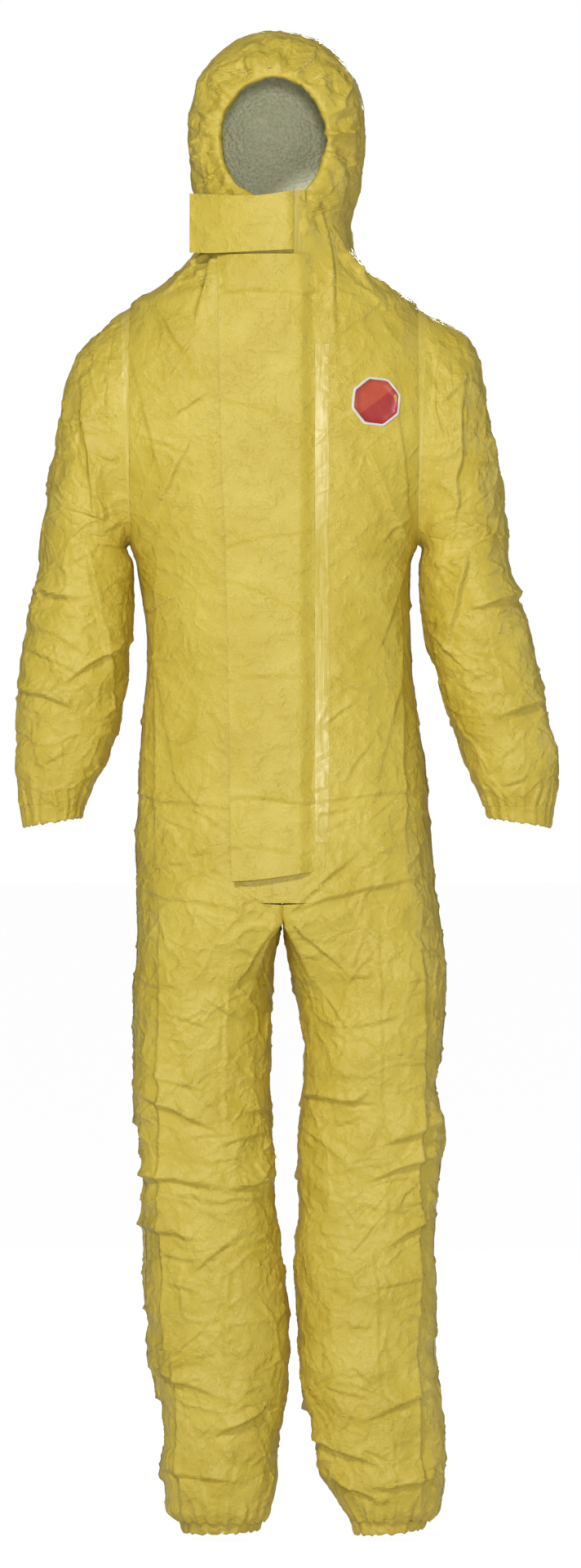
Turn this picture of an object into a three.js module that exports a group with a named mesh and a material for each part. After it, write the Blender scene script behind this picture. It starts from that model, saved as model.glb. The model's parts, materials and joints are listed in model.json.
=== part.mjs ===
// Hooded chemical protective coverall, hanging as it does on a standing wearer with the arms a
// little out. Millimetres, +Z up, the front faces -Y, +X is the wearer's left.
// The origin is inside the shoulders, at the base of the neck.
import * as THREE from 'three';

const { degToRad, lerp, clamp } = THREE.MathUtils;

// ---- Driving dimensions ----
const FABRIC = 1.5; // wall of the fabric solids, thicker than the real coated fabric
const TAPE = 0.8; // wall of seam tapes and adhesive strips
const GAP = 0.5; // clear space between neighbouring pieces
const SEAM = 8; // width of a seam, between the edges of two panels

const NECK_Z = 40; // top of the torso panels
const HOOD_BOTTOM_Z = 75;
const HOOD_WIDEST_Z = 200;
const HOOD_CROWN_Z = 300; // seam of the crown panel
const HOOD_TOP_Z = 331;
const ARMHOLE_X = 172; // from the middle of the body to the armhole seam
const ARMHOLE_HEIGHT = 284; // from the shoulder point at z = 0 down to the armpit
const ARMHOLE_HALF_DEPTH = 85;
const SEAT_Z = -712; // where the torso ends and the legs begin
const FRONT_Y = -118; // the straight front, stiffened by the zip

const ELBOW_TOP_Z = -291;
const ELBOW_BOTTOM_Z = -412;
const CUFF_Z = -592;
const CUFF_BOTTOM_Z = -618;

const THIGH_TOP_Z = -794;
const KNEE_TOP_Z = -975;
const KNEE_BOTTOM_Z = -1125;
const ANKLE_Z = -1452;
const ANKLE_BOTTOM_Z = -1471;

const ZIP_X = -12;
const ZIP_TOP_Z = 50;
const ZIP_BOTTOM_Z = -640;
const ZIP_TAPE_OUTER = 16; // from the zip's middle to the edge of a front panel
const TEETH_WIDTH = 3;
const TEETH_THICKNESS = 2.4;

// Shape stations, each [z, value], from the top down, joined by straight lines.
const TORSO_MIDDLE_X = [[-284, -10], [-386, -3], [-583, 0], [SEAT_Z, 6]];
const TORSO_HALF_WIDTH = [
  [NECK_Z, 88], [20, 126], [0, ARMHOLE_X], [-ARMHOLE_HEIGHT, ARMHOLE_X],
  [-386, 158], [-500, 165], [-583, 174], [SEAT_Z, 181],
];
const TORSO_BACK = [[NECK_Z, 88], [-60, 112], [-200, 128], [-386, 112], [-583, 122], [SEAT_Z, 118]];
const TORSO_SQUARENESS = [[0, 1.8], [-60, 2.4]];
const HOOD_FRONT = [[130, 114], [100, 116], [HOOD_BOTTOM_Z, 106]];
const HOOD_BACK = [[HOOD_WIDEST_Z, 118], [HOOD_BOTTOM_Z, 92]];
const SLEEVE_MIDDLE_X = [[-284, -10], [CUFF_BOTTOM_Z, 2]];
const SLEEVE_INNER = [[-290, 178], [-424, 182], [-503, 200], [-560, 222], [CUFF_Z, 232]];
const SLEEVE_OUTER = [[-290, 283], [-424, 308], [-503, 319], [-560, 325], [CUFF_Z, 320]];
const SLEEVE_HALF_DEPTH = [[-290, 72], [-424, 64], [-503, 60], [CUFF_Z, 46]];
const LEG_HALF_DEPTH = [
  [SEAT_Z, 112], [THIGH_TOP_Z, 98], [-930, 90], [-1090, 82], [-1245, 80], [-1400, 70], [ANKLE_Z, 54],
];
const LEG_SQUARENESS = [[SEAT_Z, 3.2], [-930, 2.4]];
// Each leg leans its own way, so each has its own inner and outer line.
const LEGS = {
  right: {
    inner: [[SEAT_Z, -6], [-930, -5], [-1090, -3], [-1245, 5], [-1340, 0], [-1430, -12], [ANKLE_Z, -24]],
    outer: [[SEAT_Z, -175], [-930, -176], [-1090, -165], [-1245, -160], [-1340, -146], [-1430, -142],
      [ANKLE_Z, -122]],
    hemMiddle: -72,
  },
  left: {
    inner: [[SEAT_Z, 6], [-930, 18], [-1090, 12], [-1245, 16], [-1340, 30], [-1430, 58], [ANKLE_Z, 80]],
    outer: [[SEAT_Z, 187], [-930, 188], [-1090, 184], [-1245, 182], [-1340, 189], [-1430, 187],
      [ANKLE_Z, 172]],
    hemMiddle: 127,
  },
};
const ANKLE_HEM = { halfWidth: 43, halfDepth: 50 };
const CUFF_HEM = { out: 276, halfWidth: 41, halfDepth: 42 }; // out: from the sleeves' middle line
const FACE = { x: -8, z: 197, halfWidth: 66, halfHeight: 75, hemWidth: 9 };
const STORM_FLAP = { freeX: -70, sewnX: 37, topZ: 54, bottomZ: -684, y: -126 };
const CHIN_FLAP = { freeX: -110, sewnX: 21, topZ: 128, bottomZ: 57, y: -131.5, wrap: 45 };
const LABEL = { x: 111, z: -118, radius: 31, turn: -6 };

// ---- Materials ----
const finish = (colour, roughness, metalness = 0) => (
  new THREE.MeshStandardMaterial({ color: colour, roughness, metalness })
);
const suitFabric = () => finish(0xd9c95f, 0.55);
const seamTape = () => finish(0xdccb5c, 0.3);
const adhesive = () => finish(0xe9e6d6, 0.35);
const elastic = () => finish(0xd8d2b8, 0.85);
const zipTape = () => finish(0xcdbd4e, 0.8);
const zipPlastic = () => finish(0xd8c848, 0.4);
const labelPrint = () => finish(0xc8452a, 0.4);

// ---- Shape helpers ----
function along(stations, z) {
  const last = stations.length - 1;
  if (z >= stations[0][0]) return stations[0][1];
  if (z <= stations[last][0]) return stations[last][1];
  const lower = stations.findIndex(([stationZ]) => stationZ <= z);
  const [z0, value0] = stations[lower - 1];
  const [z1, value1] = stations[lower];
  return lerp(value0, value1, (z - z0) / (z1 - z0));
}

const signedPower = (value, power) => Math.sign(value) * Math.abs(value) ** power;

// A rounded-rectangle section: angle 0 is the front, 90 degrees the +X side, 180 the back.
function sectionPoint(section, angle, z) {
  const power = 2 / section.squareness;
  const depth = Math.cos(angle) > 0 ? section.front : section.back;
  return new THREE.Vector3(
    section.middle + section.halfWidth * signedPower(Math.sin(angle), power),
    -depth * signedPower(Math.cos(angle), power),
    z,
  );
}

// The angle at which a section is `depth` in front of its widest line, or `out` from its middle.
const angleAtDepth = (section, depth) => Math.acos((depth / section.front) ** (section.squareness / 2));
const angleAtX = (section, out) => (
  Math.asin(signedPower(out / section.halfWidth, section.squareness / 2))
);

function skinNormal(surface, u, v) {
  const step = 1e-3;
  const acrossU = surface(u + step, v).sub(surface(u - step, v));
  const acrossV = surface(u, v + step).sub(surface(u, v - step));
  return acrossU.cross(acrossV).normalize();
}

function reshape(geometry, place) {
  const position = geometry.attributes.position;
  const point = new THREE.Vector3();
  for (let index = 0; index < position.count; index += 1) {
    point.fromBufferAttribute(position, index);
    position.setXYZ(index, ...place(point).toArray());
  }
  return geometry;
}

// The wall at (u, v): `inward` 0 is the outer skin and 1 the inner one.
function wallPoint(surface, u, v, inward, thickness) {
  return surface(u, v).addScaledVector(skinNormal(surface, u, v), -inward * thickness);
}

// A sheet with four edges over surface(u, v), whose outer side is where u cross v points.
function panel(surface, columns, rows, thickness = FABRIC) {
  return reshape(new THREE.BoxGeometry(1, 1, 1, columns, rows, 1), ({ x, y, z }) => (
    wallPoint(surface, x + 0.5, y + 0.5, 0.5 - z, thickness)
  ));
}

// A ring of fabric, closed around u and open at both ends of v.
function tube(surface, around, rows, thickness = FABRIC) {
  const profile = [];
  for (let row = 0; row <= rows; row += 1) profile.push(new THREE.Vector2(2, row / rows));
  for (let row = rows; row >= 0; row -= 1) profile.push(new THREE.Vector2(1, row / rows));
  profile.push(profile[0].clone());
  return reshape(new THREE.LatheGeometry(profile, around), ({ x, y, z }) => {
    const turn = Math.atan2(x, z) / (2 * Math.PI);
    const inward = Math.hypot(x, z) > 1.5 ? 0 : 1;
    return wallPoint(surface, turn, y, inward, thickness);
  });
}

function box(x0, x1, y0, y1, z0, z1) {
  const geometry = new THREE.BoxGeometry(Math.abs(x1 - x0), y1 - y0, z1 - z0);
  return geometry.translate((x0 + x1) / 2, (y0 + y1) / 2, (z0 + z1) / 2);
}

const suit = new THREE.Group();
function add(name, geometry, material) {
  const mesh = new THREE.Mesh(geometry, material);
  mesh.name = name;
  suit.add(mesh);
  return mesh;
}

// ---- Torso ----
function armholeHalfDepth(z) {
  const fromMiddle = (z + ARMHOLE_HEIGHT / 2) / (ARMHOLE_HEIGHT / 2);
  return ARMHOLE_HALF_DEPTH * Math.sqrt(Math.max(0, 1 - fromMiddle ** 2));
}

function torsoSection(z) {
  const section = {
    middle: along(TORSO_MIDDLE_X, z),
    halfWidth: along(TORSO_HALF_WIDTH, z),
    front: -FRONT_Y,
    back: along(TORSO_BACK, z),
    squareness: along(TORSO_SQUARENESS, z),
  };
  // Beside the armhole the section is wider, so that its cut edge lies in the armhole's plane.
  const edgeDepth = Math.max(SEAM / 2, armholeHalfDepth(z));
  const reach = 1 - (edgeDepth / section.front) ** section.squareness;
  section.frontEdge = angleAtDepth(section, edgeDepth);
  section.backEdge = Math.acos((edgeDepth / section.back) ** (section.squareness / 2));
  if (edgeDepth > SEAM / 2) section.halfWidth = ARMHOLE_X / reach ** (1 / section.squareness);
  return section;
}

function frontPanelSurface(side) {
  return (u, v) => {
    const z = lerp(SEAT_Z, NECK_Z, v);
    const section = torsoSection(z);
    const zipOut = ZIP_X + side * ZIP_TAPE_OUTER - section.middle;
    const edges = side > 0
      ? [angleAtX(section, zipOut), section.frontEdge]
      : [-section.frontEdge, angleAtX(section, zipOut)];
    return sectionPoint(section, lerp(...edges, u), z);
  };
}

function backPanelSurface(side) {
  return (u, v) => {
    const z = lerp(SEAT_Z, NECK_Z, v);
    const section = torsoSection(z);
    const seam = Math.PI - angleAtX(section, SEAM / 2);
    const armhole = Math.PI - section.backEdge;
    // The back's armhole edge is pulled out to the armhole's plane, as the front's is.
    const angle = side > 0 ? lerp(armhole, seam, u) : lerp(-seam, -armhole, u);
    const point = sectionPoint(section, angle, z);
    point.x = section.middle + clamp(point.x - section.middle, -ARMHOLE_X, ARMHOLE_X);
    return point;
  };
}

// A strip of tape up the side of a section, in the seam between a front and a back panel.
function sideStrip(side, bottomZ, topZ, rows) {
  return panel((u, v) => {
    const z = lerp(bottomZ, topZ, v);
    const section = torsoSection(z);
    const y = lerp(-1, 1, u) * side * (SEAM / 2 - GAP);
    return new THREE.Vector3(section.middle + side * along(TORSO_HALF_WIDTH, z), y, z);
  }, 1, rows, TAPE);
}

function torso() {
  for (const [name, side] of [['right', -1], ['left', 1]]) {
    add(`${name}_front_panel`, panel(frontPanelSurface(side), 6, 15), suitFabric());
    add(`${name}_back_panel`, panel(backPanelSurface(side), 6, 15), suitFabric());
    add(`${name}_side_seam_tape`, sideStrip(side, SEAT_Z, -ARMHOLE_HEIGHT - 12, 8), seamTape());
    add(`${name}_shoulder_seam_tape`, sideStrip(side, 4, NECK_Z, 3), seamTape());
  }
  add('centre_back_seam_tape', panel((u, v) => {
    const z = lerp(SEAT_Z, NECK_Z, v);
    const section = torsoSection(z);
    return new THREE.Vector3(section.middle + lerp(1, -1, u) * (SEAM / 2 - GAP), section.back, z);
  }, 1, 15, TAPE), seamTape());
  add('crotch_seam_tape', box(-4, 4, -96, 96, SEAT_Z - 3, SEAT_Z - 3 + TAPE), seamTape());
  addWaistElastic();
}

function addWaistElastic() {
  const WAIST_Z = -430;
  const HALF_HEIGHT = 10;
  const CLEARANCE = FABRIC + 2;
  const surface = (u, v) => {
    const z = lerp(WAIST_Z - HALF_HEIGHT, WAIST_Z + HALF_HEIGHT, v);
    const section = torsoSection(z);
    section.halfWidth -= CLEARANCE;
    section.back -= CLEARANCE;
    return sectionPoint(section, lerp(degToRad(115), degToRad(245), u), z);
  };
  add('waist_elastic', panel(surface, 12, 1), elastic());
}

// ---- Zip, its flaps and the label ----
function zip() {
  const TEETH_GAP = 0.2; // clear space between the rows of teeth and the zip's middle
  const tapeY = FRONT_Y - 0.2;
  for (const [name, side] of [['right', -1], ['left', 1]]) {
    const strip = (inner, outer, y, thickness) => (
      box(ZIP_X + side * inner, ZIP_X + side * outer, y, y + thickness, ZIP_BOTTOM_Z, ZIP_TOP_Z)
    );
    add(`${name}_zip_tape`, strip(TEETH_WIDTH + GAP, ZIP_TAPE_OUTER - GAP, tapeY, 1), zipTape());
    add(`${name}_zip_teeth`, strip(TEETH_GAP, TEETH_WIDTH, FRONT_Y - 1, TEETH_THICKNESS), zipPlastic());
  }
  const STOP_HEIGHT = 5;
  const stop = (bottomZ) => box(ZIP_X - 4, ZIP_X + 4, FRONT_Y - 1, FRONT_Y - 1 + TEETH_THICKNESS,
    bottomZ, bottomZ + STOP_HEIGHT);
  add('zip_top_stop', stop(ZIP_TOP_Z + GAP), zipPlastic());
  add('zip_bottom_stop', stop(ZIP_BOTTOM_Z - GAP - STOP_HEIGHT), zipPlastic());
  add('inner_zip_flap', box(ZIP_X - 27, ZIP_X + 27, FRONT_Y + 5.5, FRONT_Y + 7, ZIP_BOTTOM_Z, -8),
    suitFabric());
}

// A flat plate with an outline in X and Z, its front face at y.
function frontPlate(outline, y, thickness) {
  const shape = new THREE.Shape(outline.map(([x, z]) => new THREE.Vector2(x, z)));
  const geometry = new THREE.ExtrudeGeometry(shape, { depth: thickness, bevelEnabled: false });
  return geometry.rotateX(Math.PI / 2).translate(0, y + thickness, 0);
}

function slider() {
  const SLIDER = { halfWidth: 5.5, height: 16, topZ: 46, back: FRONT_Y - 1 - GAP, depth: 3 };
  const { halfWidth, height, topZ, back, depth } = SLIDER;
  const waist = halfWidth - 1.5;
  const outline = [
    [ZIP_X - halfWidth, topZ], [ZIP_X - waist, topZ - height], [ZIP_X + waist, topZ - height],
    [ZIP_X + halfWidth, topZ],
  ];
  add('zip_slider', frontPlate(outline, back - depth, depth), zipPlastic());
  const TAB = { halfWidth: 3, height: 32, topZ: topZ - 4, thickness: 1.2 };
  const tabOutline = [
    [ZIP_X - TAB.halfWidth, TAB.topZ], [ZIP_X - TAB.halfWidth, TAB.topZ - TAB.height],
    [ZIP_X + TAB.halfWidth, TAB.topZ - TAB.height], [ZIP_X + TAB.halfWidth, TAB.topZ],
  ];
  const tabY = back - depth - 0.3 - TAB.thickness;
  add('zip_pull_tab', frontPlate(tabOutline, tabY, TAB.thickness), zipPlastic());
}

function stormFlap() {
  const { freeX, sewnX, topZ, bottomZ, y } = STORM_FLAP;
  const BOTTOM_RISE = 12; // the bottom edge rises towards the sewn side
  const FREE_EDGE_LEAN = 10; // the flap narrows towards its bottom
  const outline = [
    [freeX, topZ], [freeX + FREE_EDGE_LEAN, bottomZ], [sewnX - 12, bottomZ + BOTTOM_RISE], [sewnX, topZ],
  ];
  add('storm_flap', frontPlate(outline, y - FABRIC, FABRIC), suitFabric());
  add('storm_flap_adhesive', box(freeX + 12, freeX + 30, y + 0.3, y + 0.3 + TAPE / 2, bottomZ + 40,
    topZ - 10), adhesive());
  const seamTapeY = FRONT_Y - GAP;
  const tape = box(sewnX + 4, sewnX + 20, seamTapeY - TAPE, seamTapeY, bottomZ + BOTTOM_RISE, 0);
  add('storm_flap_seam_tape', tape, seamTape());
}

function chestLabel() {
  const { x, z, radius, turn } = LABEL;
  const section = torsoSection(z);
  const angle = angleAtX(section, x - section.middle);
  const surface = (u, v) => sectionPoint(torsoSection(z + v), angle + u / section.halfWidth, z + v);
  const normal = skinNormal(surface, 0, 0);
  const octagon = new THREE.CylinderGeometry(radius, radius, TAPE, 8);
  octagon.rotateX(Math.PI / 2).rotateZ(degToRad(22.5 + turn));
  const label = add('chest_label', octagon, labelPrint());
  label.quaternion.setFromUnitVectors(new THREE.Vector3(0, 0, 1), normal);
  label.position.copy(surface(0, 0)).addScaledVector(normal, GAP + TAPE / 2);
}

// ---- Hood ----
function domeShare(z) {
  const SQUARENESS = 2.3;
  const rise = Math.max(0, z - HOOD_WIDEST_Z) / (HOOD_TOP_Z - HOOD_WIDEST_Z);
  return Math.max(0, 1 - rise ** SQUARENESS) ** (1 / SQUARENESS);
}

function hoodSection(z) {
  const share = domeShare(z);
  const narrowing = 7 * Math.max(0, (HOOD_WIDEST_Z - z) / (HOOD_WIDEST_Z - HOOD_BOTTOM_Z)) ** 2;
  const forwardLean = 0.1 * clamp(z - 130, 0, 70);
  return {
    middle: -6,
    halfWidth: (105 - narrowing) * share,
    front: (along(HOOD_FRONT, z) - forwardLean) * share,
    back: along(HOOD_BACK, z) * share,
    squareness: 2.2,
  };
}

function hoodSideSurface(side) {
  const hemSpace = FACE.hemWidth + 5; // the panels end clear of the face hem
  return (u, v) => {
    const z = lerp(HOOD_BOTTOM_Z, HOOD_CROWN_Z, v);
    const section = hoodSection(z);
    const fromMiddle = (z - FACE.z) / (FACE.halfHeight + hemSpace);
    const opening = Math.sqrt(Math.max(0, 1 - fromMiddle ** 2)) * (FACE.halfWidth + hemSpace);
    const out = side * Math.max(GAP, opening) + (opening > GAP ? FACE.x - section.middle : 0);
    const front = angleAtX(section, out);
    const back = side * (Math.PI - angleAtX(section, GAP));
    return sectionPoint(section, side > 0 ? lerp(front, back, u) : lerp(back, front, u), z);
  };
}

function hoodFrontY(x, z) {
  const section = hoodSection(z);
  return sectionPoint(section, angleAtX(section, x - section.middle), z).y;
}

// A ring around the face opening: `inner` and `outer` are its distances outside the opening.
function faceRing(inner, outer, setBack, thickness) {
  const surface = (u, v) => {
    const angle = 2 * Math.PI * u;
    const out = lerp(outer, inner, v);
    const x = FACE.x + (FACE.halfWidth + out) * Math.sin(angle);
    const z = FACE.z - (FACE.halfHeight + out) * Math.cos(angle);
    return new THREE.Vector3(x, hoodFrontY(x, z) + setBack, z);
  };
  return tube(surface, 24, 1, thickness);
}

function crownPanel() {
  const rows = [HOOD_CROWN_Z + GAP, 312, 322, 328, HOOD_TOP_Z];
  const rim = hoodSection(rows[0]);
  const rimShare = domeShare(rows[0]);
  const outer = rows.map((z) => new THREE.Vector2(domeShare(z) / rimShare, z));
  const inner = rows.map((z) => {
    const radius = Math.max(0, domeShare(z) / rimShare - FABRIC / rim.halfWidth);
    return new THREE.Vector2(radius, z - (z > rows[0] ? FABRIC : 0));
  });
  const geometry = new THREE.LatheGeometry([...outer, ...inner.reverse(), outer[0].clone()], 20);
  return geometry.rotateX(Math.PI / 2).scale(rim.halfWidth, rim.front, 1).translate(rim.middle, 0, 0);
}

function hood() {
  add('hood_right_panel', panel(hoodSideSurface(-1), 9, 12), suitFabric());
  add('hood_left_panel', panel(hoodSideSurface(1), 9, 12), suitFabric());
  add('hood_crown_panel', crownPanel(), suitFabric());
  add('face_hem', faceRing(0, FACE.hemWidth, 0, FABRIC), suitFabric());
  add('face_elastic', faceRing(1.5, FACE.hemWidth - 2, 2 * FABRIC + GAP, 1), elastic());
  const collar = (u, v) => {
    const z = lerp(NECK_Z + 1, HOOD_BOTTOM_Z - 1, v);
    const section = hoodSection(HOOD_BOTTOM_Z);
    return sectionPoint(section, 2 * Math.PI * u, z);
  };
  add('collar', tube(collar, 20, 2), suitFabric());
}

function chinFlap() {
  const { freeX, sewnX, topZ, bottomZ, y, wrap } = CHIN_FLAP;
  const curve = (x) => y + wrap * ((sewnX - x) / (sewnX - freeX)) ** 2;
  const plate = (x0, x1, z0, z1, setBack) => (u, v) => {
    const x = lerp(x0, x1, u);
    return new THREE.Vector3(x, curve(x) + setBack, lerp(z0, z1, v));
  };
  add('chin_flap', panel(plate(freeX, sewnX, bottomZ, topZ, -FABRIC), 8, 1), suitFabric());
  add('chin_flap_adhesive', panel(plate(freeX + 8, freeX + 45, bottomZ + 12, topZ - 12, GAP), 3, 1, TAPE),
    adhesive());
  const tape = (u, v) => {
    const x = lerp(sewnX + 3, sewnX + 17, u);
    const z = lerp(HOOD_BOTTOM_Z + 2, topZ - 12, v);
    return new THREE.Vector3(x, hoodFrontY(x, z) - GAP - TAPE, z);
  };
  add('chin_flap_seam_tape', panel(tape, 1, 2, TAPE), seamTape());
}

// ---- Sleeves ----
const SLEEVE_FORK = { x: ARMHOLE_X + 2, z: -290, clear: 6 }; // the armpit, where the cap fans out

function capOuter(angle) {
  const SQUARENESS = 1.75;
  const across = (Math.abs(Math.sin(angle)) / (SLEEVE_OUTER[0][1] - SLEEVE_FORK.x)) ** SQUARENESS;
  const up = (Math.abs(Math.cos(angle)) / -SLEEVE_FORK.z) ** SQUARENESS;
  return (across + up) ** (-1 / SQUARENESS);
}

// The sleeve cap fans out of the armpit, from the upright armhole to the level upper arm.
function capSurface(u, v) {
  const fan = degToRad(90 * (1 - v));
  const outward = new THREE.Vector3(Math.sin(fan), 0, Math.cos(fan));
  const outer = capOuter(fan);
  const angle = 2 * Math.PI * u;
  const reach = lerp(SLEEVE_FORK.clear, outer, (1 + Math.sin(angle)) / 2);
  const halfDepth = lerp(SLEEVE_HALF_DEPTH[0][1], ARMHOLE_HALF_DEPTH, v);
  const middle = along(SLEEVE_MIDDLE_X, 0);
  return new THREE.Vector3(middle + SLEEVE_FORK.x, -halfDepth * Math.cos(angle), SLEEVE_FORK.z)
    .addScaledVector(outward, reach);
}

function sleeveSurface(bottomZ, topZ) {
  return (u, v) => {
    const z = lerp(bottomZ, topZ, v);
    const inner = along(SLEEVE_INNER, z);
    const outer = along(SLEEVE_OUTER, z);
    const depth = along(SLEEVE_HALF_DEPTH, z);
    const section = {
      middle: along(SLEEVE_MIDDLE_X, z) + (inner + outer) / 2,
      halfWidth: (outer - inner) / 2,
      front: depth,
      back: depth,
      squareness: 2.1,
    };
    return sectionPoint(section, 2 * Math.PI * u, z);
  };
}

function ringSurface(middle, { halfWidth, halfDepth }, inset, bottomZ, topZ) {
  const depth = halfDepth - inset;
  const section = { middle, halfWidth: halfWidth - inset, front: depth, back: depth, squareness: 2 };
  return (u, v) => sectionPoint(section, 2 * Math.PI * u, lerp(bottomZ, topZ, v));
}

// Mirrors a left-hand surface to the wearer's right, about the sleeves' own middle line.
function onSide(side, surface) {
  if (side > 0) return surface;
  return (u, v) => {
    const point = surface(-u, v);
    return point.setX(2 * along(SLEEVE_MIDDLE_X, point.z) - point.x);
  };
}

function sleeve(name, side) {
  const AROUND = 16;
  add(`${name}_armhole_seam_tape`, tube(onSide(side, (u, v) => {
    const angle = 2 * Math.PI * u;
    const height = ARMHOLE_HEIGHT / 2 - 1;
    const x = along(SLEEVE_MIDDLE_X, 0) + ARMHOLE_X + lerp(1.5, 0.4, v);
    return new THREE.Vector3(x, -ARMHOLE_HALF_DEPTH * Math.cos(angle),
      -ARMHOLE_HEIGHT / 2 + height * Math.sin(angle));
  }), AROUND, 1, SEAM), seamTape());
  add(`${name}_upper_sleeve`, tube(onSide(side, capSurface), AROUND, 8), suitFabric());
  add(`${name}_elbow_sleeve`, tube(onSide(side, sleeveSurface(ELBOW_BOTTOM_Z + 1, ELBOW_TOP_Z)), AROUND, 2),
    suitFabric());
  add(`${name}_lower_sleeve`, tube(onSide(side, sleeveSurface(CUFF_Z + GAP, ELBOW_BOTTOM_Z)), AROUND, 5),
    suitFabric());
  const cuffMiddle = along(SLEEVE_MIDDLE_X, CUFF_Z) + CUFF_HEM.out;
  const hem = ringSurface(cuffMiddle, CUFF_HEM, 0, CUFF_BOTTOM_Z, CUFF_Z);
  add(`${name}_cuff_hem`, tube(onSide(side, hem), AROUND, 1), suitFabric());
  const band = ringSurface(cuffMiddle, CUFF_HEM, FABRIC + GAP, CUFF_BOTTOM_Z + 5, CUFF_Z - 8);
  add(`${name}_cuff_elastic`, tube(onSide(side, band), AROUND, 1, 1), elastic());
}

// ---- Legs ----
function legSurface(leg, bottomZ, topZ) {
  return (u, v) => {
    const z = lerp(bottomZ, topZ, v);
    const inner = along(leg.inner, z);
    const outer = along(leg.outer, z);
    const depth = along(LEG_HALF_DEPTH, z);
    const section = {
      middle: (inner + outer) / 2,
      halfWidth: Math.abs(outer - inner) / 2,
      front: depth,
      back: depth,
      squareness: along(LEG_SQUARENESS, z),
    };
    return sectionPoint(section, 2 * Math.PI * u, z);
  };
}

function trouserLeg(name, leg) {
  const AROUND = 20;
  const between = (bottomZ, topZ, rows) => tube(legSurface(leg, bottomZ, topZ), AROUND, rows);
  add(`${name}_hip_gusset`, between(THIGH_TOP_Z + 1, SEAT_Z - 4, 1), suitFabric());
  add(`${name}_thigh`, between(KNEE_TOP_Z, THIGH_TOP_Z, 2), suitFabric());
  add(`${name}_knee`, between(KNEE_BOTTOM_Z + 1, KNEE_TOP_Z - 1, 2), suitFabric());
  add(`${name}_shin`, between(ANKLE_Z + GAP, KNEE_BOTTOM_Z, 6), suitFabric());
  const hem = ringSurface(leg.hemMiddle, ANKLE_HEM, 0, ANKLE_BOTTOM_Z, ANKLE_Z);
  add(`${name}_ankle_hem`, tube(hem, AROUND, 1), suitFabric());
  const band = ringSurface(leg.hemMiddle, ANKLE_HEM, FABRIC + GAP, ANKLE_BOTTOM_Z + 3, ANKLE_Z - 6);
  add(`${name}_ankle_elastic`, tube(band, AROUND, 1, 1), elastic());
}

torso();
zip();
slider();
stormFlap();
chestLabel();
hood();
chinFlap();
sleeve('right', -1);
sleeve('left', 1);
trouserLeg('right', LEGS.right);
trouserLeg('left', LEGS.left);

export default suit;
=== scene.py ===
import json
import math
import random

import bpy
import numpy as np
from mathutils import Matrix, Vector


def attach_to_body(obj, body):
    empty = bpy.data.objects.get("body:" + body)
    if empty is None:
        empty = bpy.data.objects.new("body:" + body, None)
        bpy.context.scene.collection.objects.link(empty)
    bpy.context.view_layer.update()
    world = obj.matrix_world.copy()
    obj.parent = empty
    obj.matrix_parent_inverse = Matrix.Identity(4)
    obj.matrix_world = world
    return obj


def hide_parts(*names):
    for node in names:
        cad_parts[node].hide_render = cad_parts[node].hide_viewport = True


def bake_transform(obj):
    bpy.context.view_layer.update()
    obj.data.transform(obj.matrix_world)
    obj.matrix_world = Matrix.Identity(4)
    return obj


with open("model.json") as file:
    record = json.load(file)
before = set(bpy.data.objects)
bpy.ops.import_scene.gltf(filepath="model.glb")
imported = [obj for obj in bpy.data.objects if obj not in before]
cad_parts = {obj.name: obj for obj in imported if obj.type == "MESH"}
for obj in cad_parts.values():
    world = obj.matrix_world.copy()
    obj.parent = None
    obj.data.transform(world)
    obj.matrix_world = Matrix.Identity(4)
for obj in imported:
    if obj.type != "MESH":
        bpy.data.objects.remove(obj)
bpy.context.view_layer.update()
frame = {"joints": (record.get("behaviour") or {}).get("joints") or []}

MM = 0.001
GRID = 2.5  # spacing of the fabric meshes
FABRIC = 0.9  # thickness of the coated fabric as drawn
SEAT_Z = -712
ARMHOLE_TOP_Z = 0
ARMPIT_Z = -284
ARMHOLE_DEPTH = 85  # half the armhole's front to back size
FORK_Z = -290  # a little below the armpit, where the sleeve cap ends and the sleeve begins
THIGH_SPLIT_Z = -880
CUFF_Z = -597
CUFF_END_Z = -619
ANKLE_Z = -1452
ANKLE_END_Z = -1470
HOOD_TOP_Z = 331
HOOD_DOME_Z = 200
NECK_Z = 38
ZIP_X = -12
SIDES = {"right": -1, "left": 1}


# ---- Numbers along a line, and noise ----
def along(stations, at):
    """A smooth curve through stations, each (place, value), that never overshoots them."""
    table = np.array(sorted(stations), float)
    x, y = table[:, 0], table[:, 1]
    rise = np.diff(y) / np.diff(x)
    same_way = rise[1:] * rise[:-1] > 0
    total = np.where(same_way, rise[1:] + rise[:-1], 1)
    between = np.where(same_way, 2 * rise[1:] * rise[:-1] / total, 0)
    slope = np.concatenate([rise[:1], between, rise[-1:]])
    at = np.clip(at, x[0], x[-1])
    i = np.clip(np.searchsorted(x, at, side="right") - 1, 0, len(x) - 2)
    width = x[i + 1] - x[i]
    t = (at - x[i]) / width
    return (
        y[i] * (1 + 2 * t) * (1 - t) ** 2
        + slope[i] * width * t * (1 - t) ** 2
        + y[i + 1] * t**2 * (3 - 2 * t)
        + slope[i + 1] * width * t**2 * (t - 1)
    )


def ease(low, high, at):
    """0 below low, 1 above high, and smooth between; low may be the larger."""
    t = np.clip((at - low) / (high - low), 0, 1)
    return t * t * (3 - 2 * t)


def bump(centre, width, at):
    return np.exp(-(((at - centre) / width) ** 2))


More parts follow.
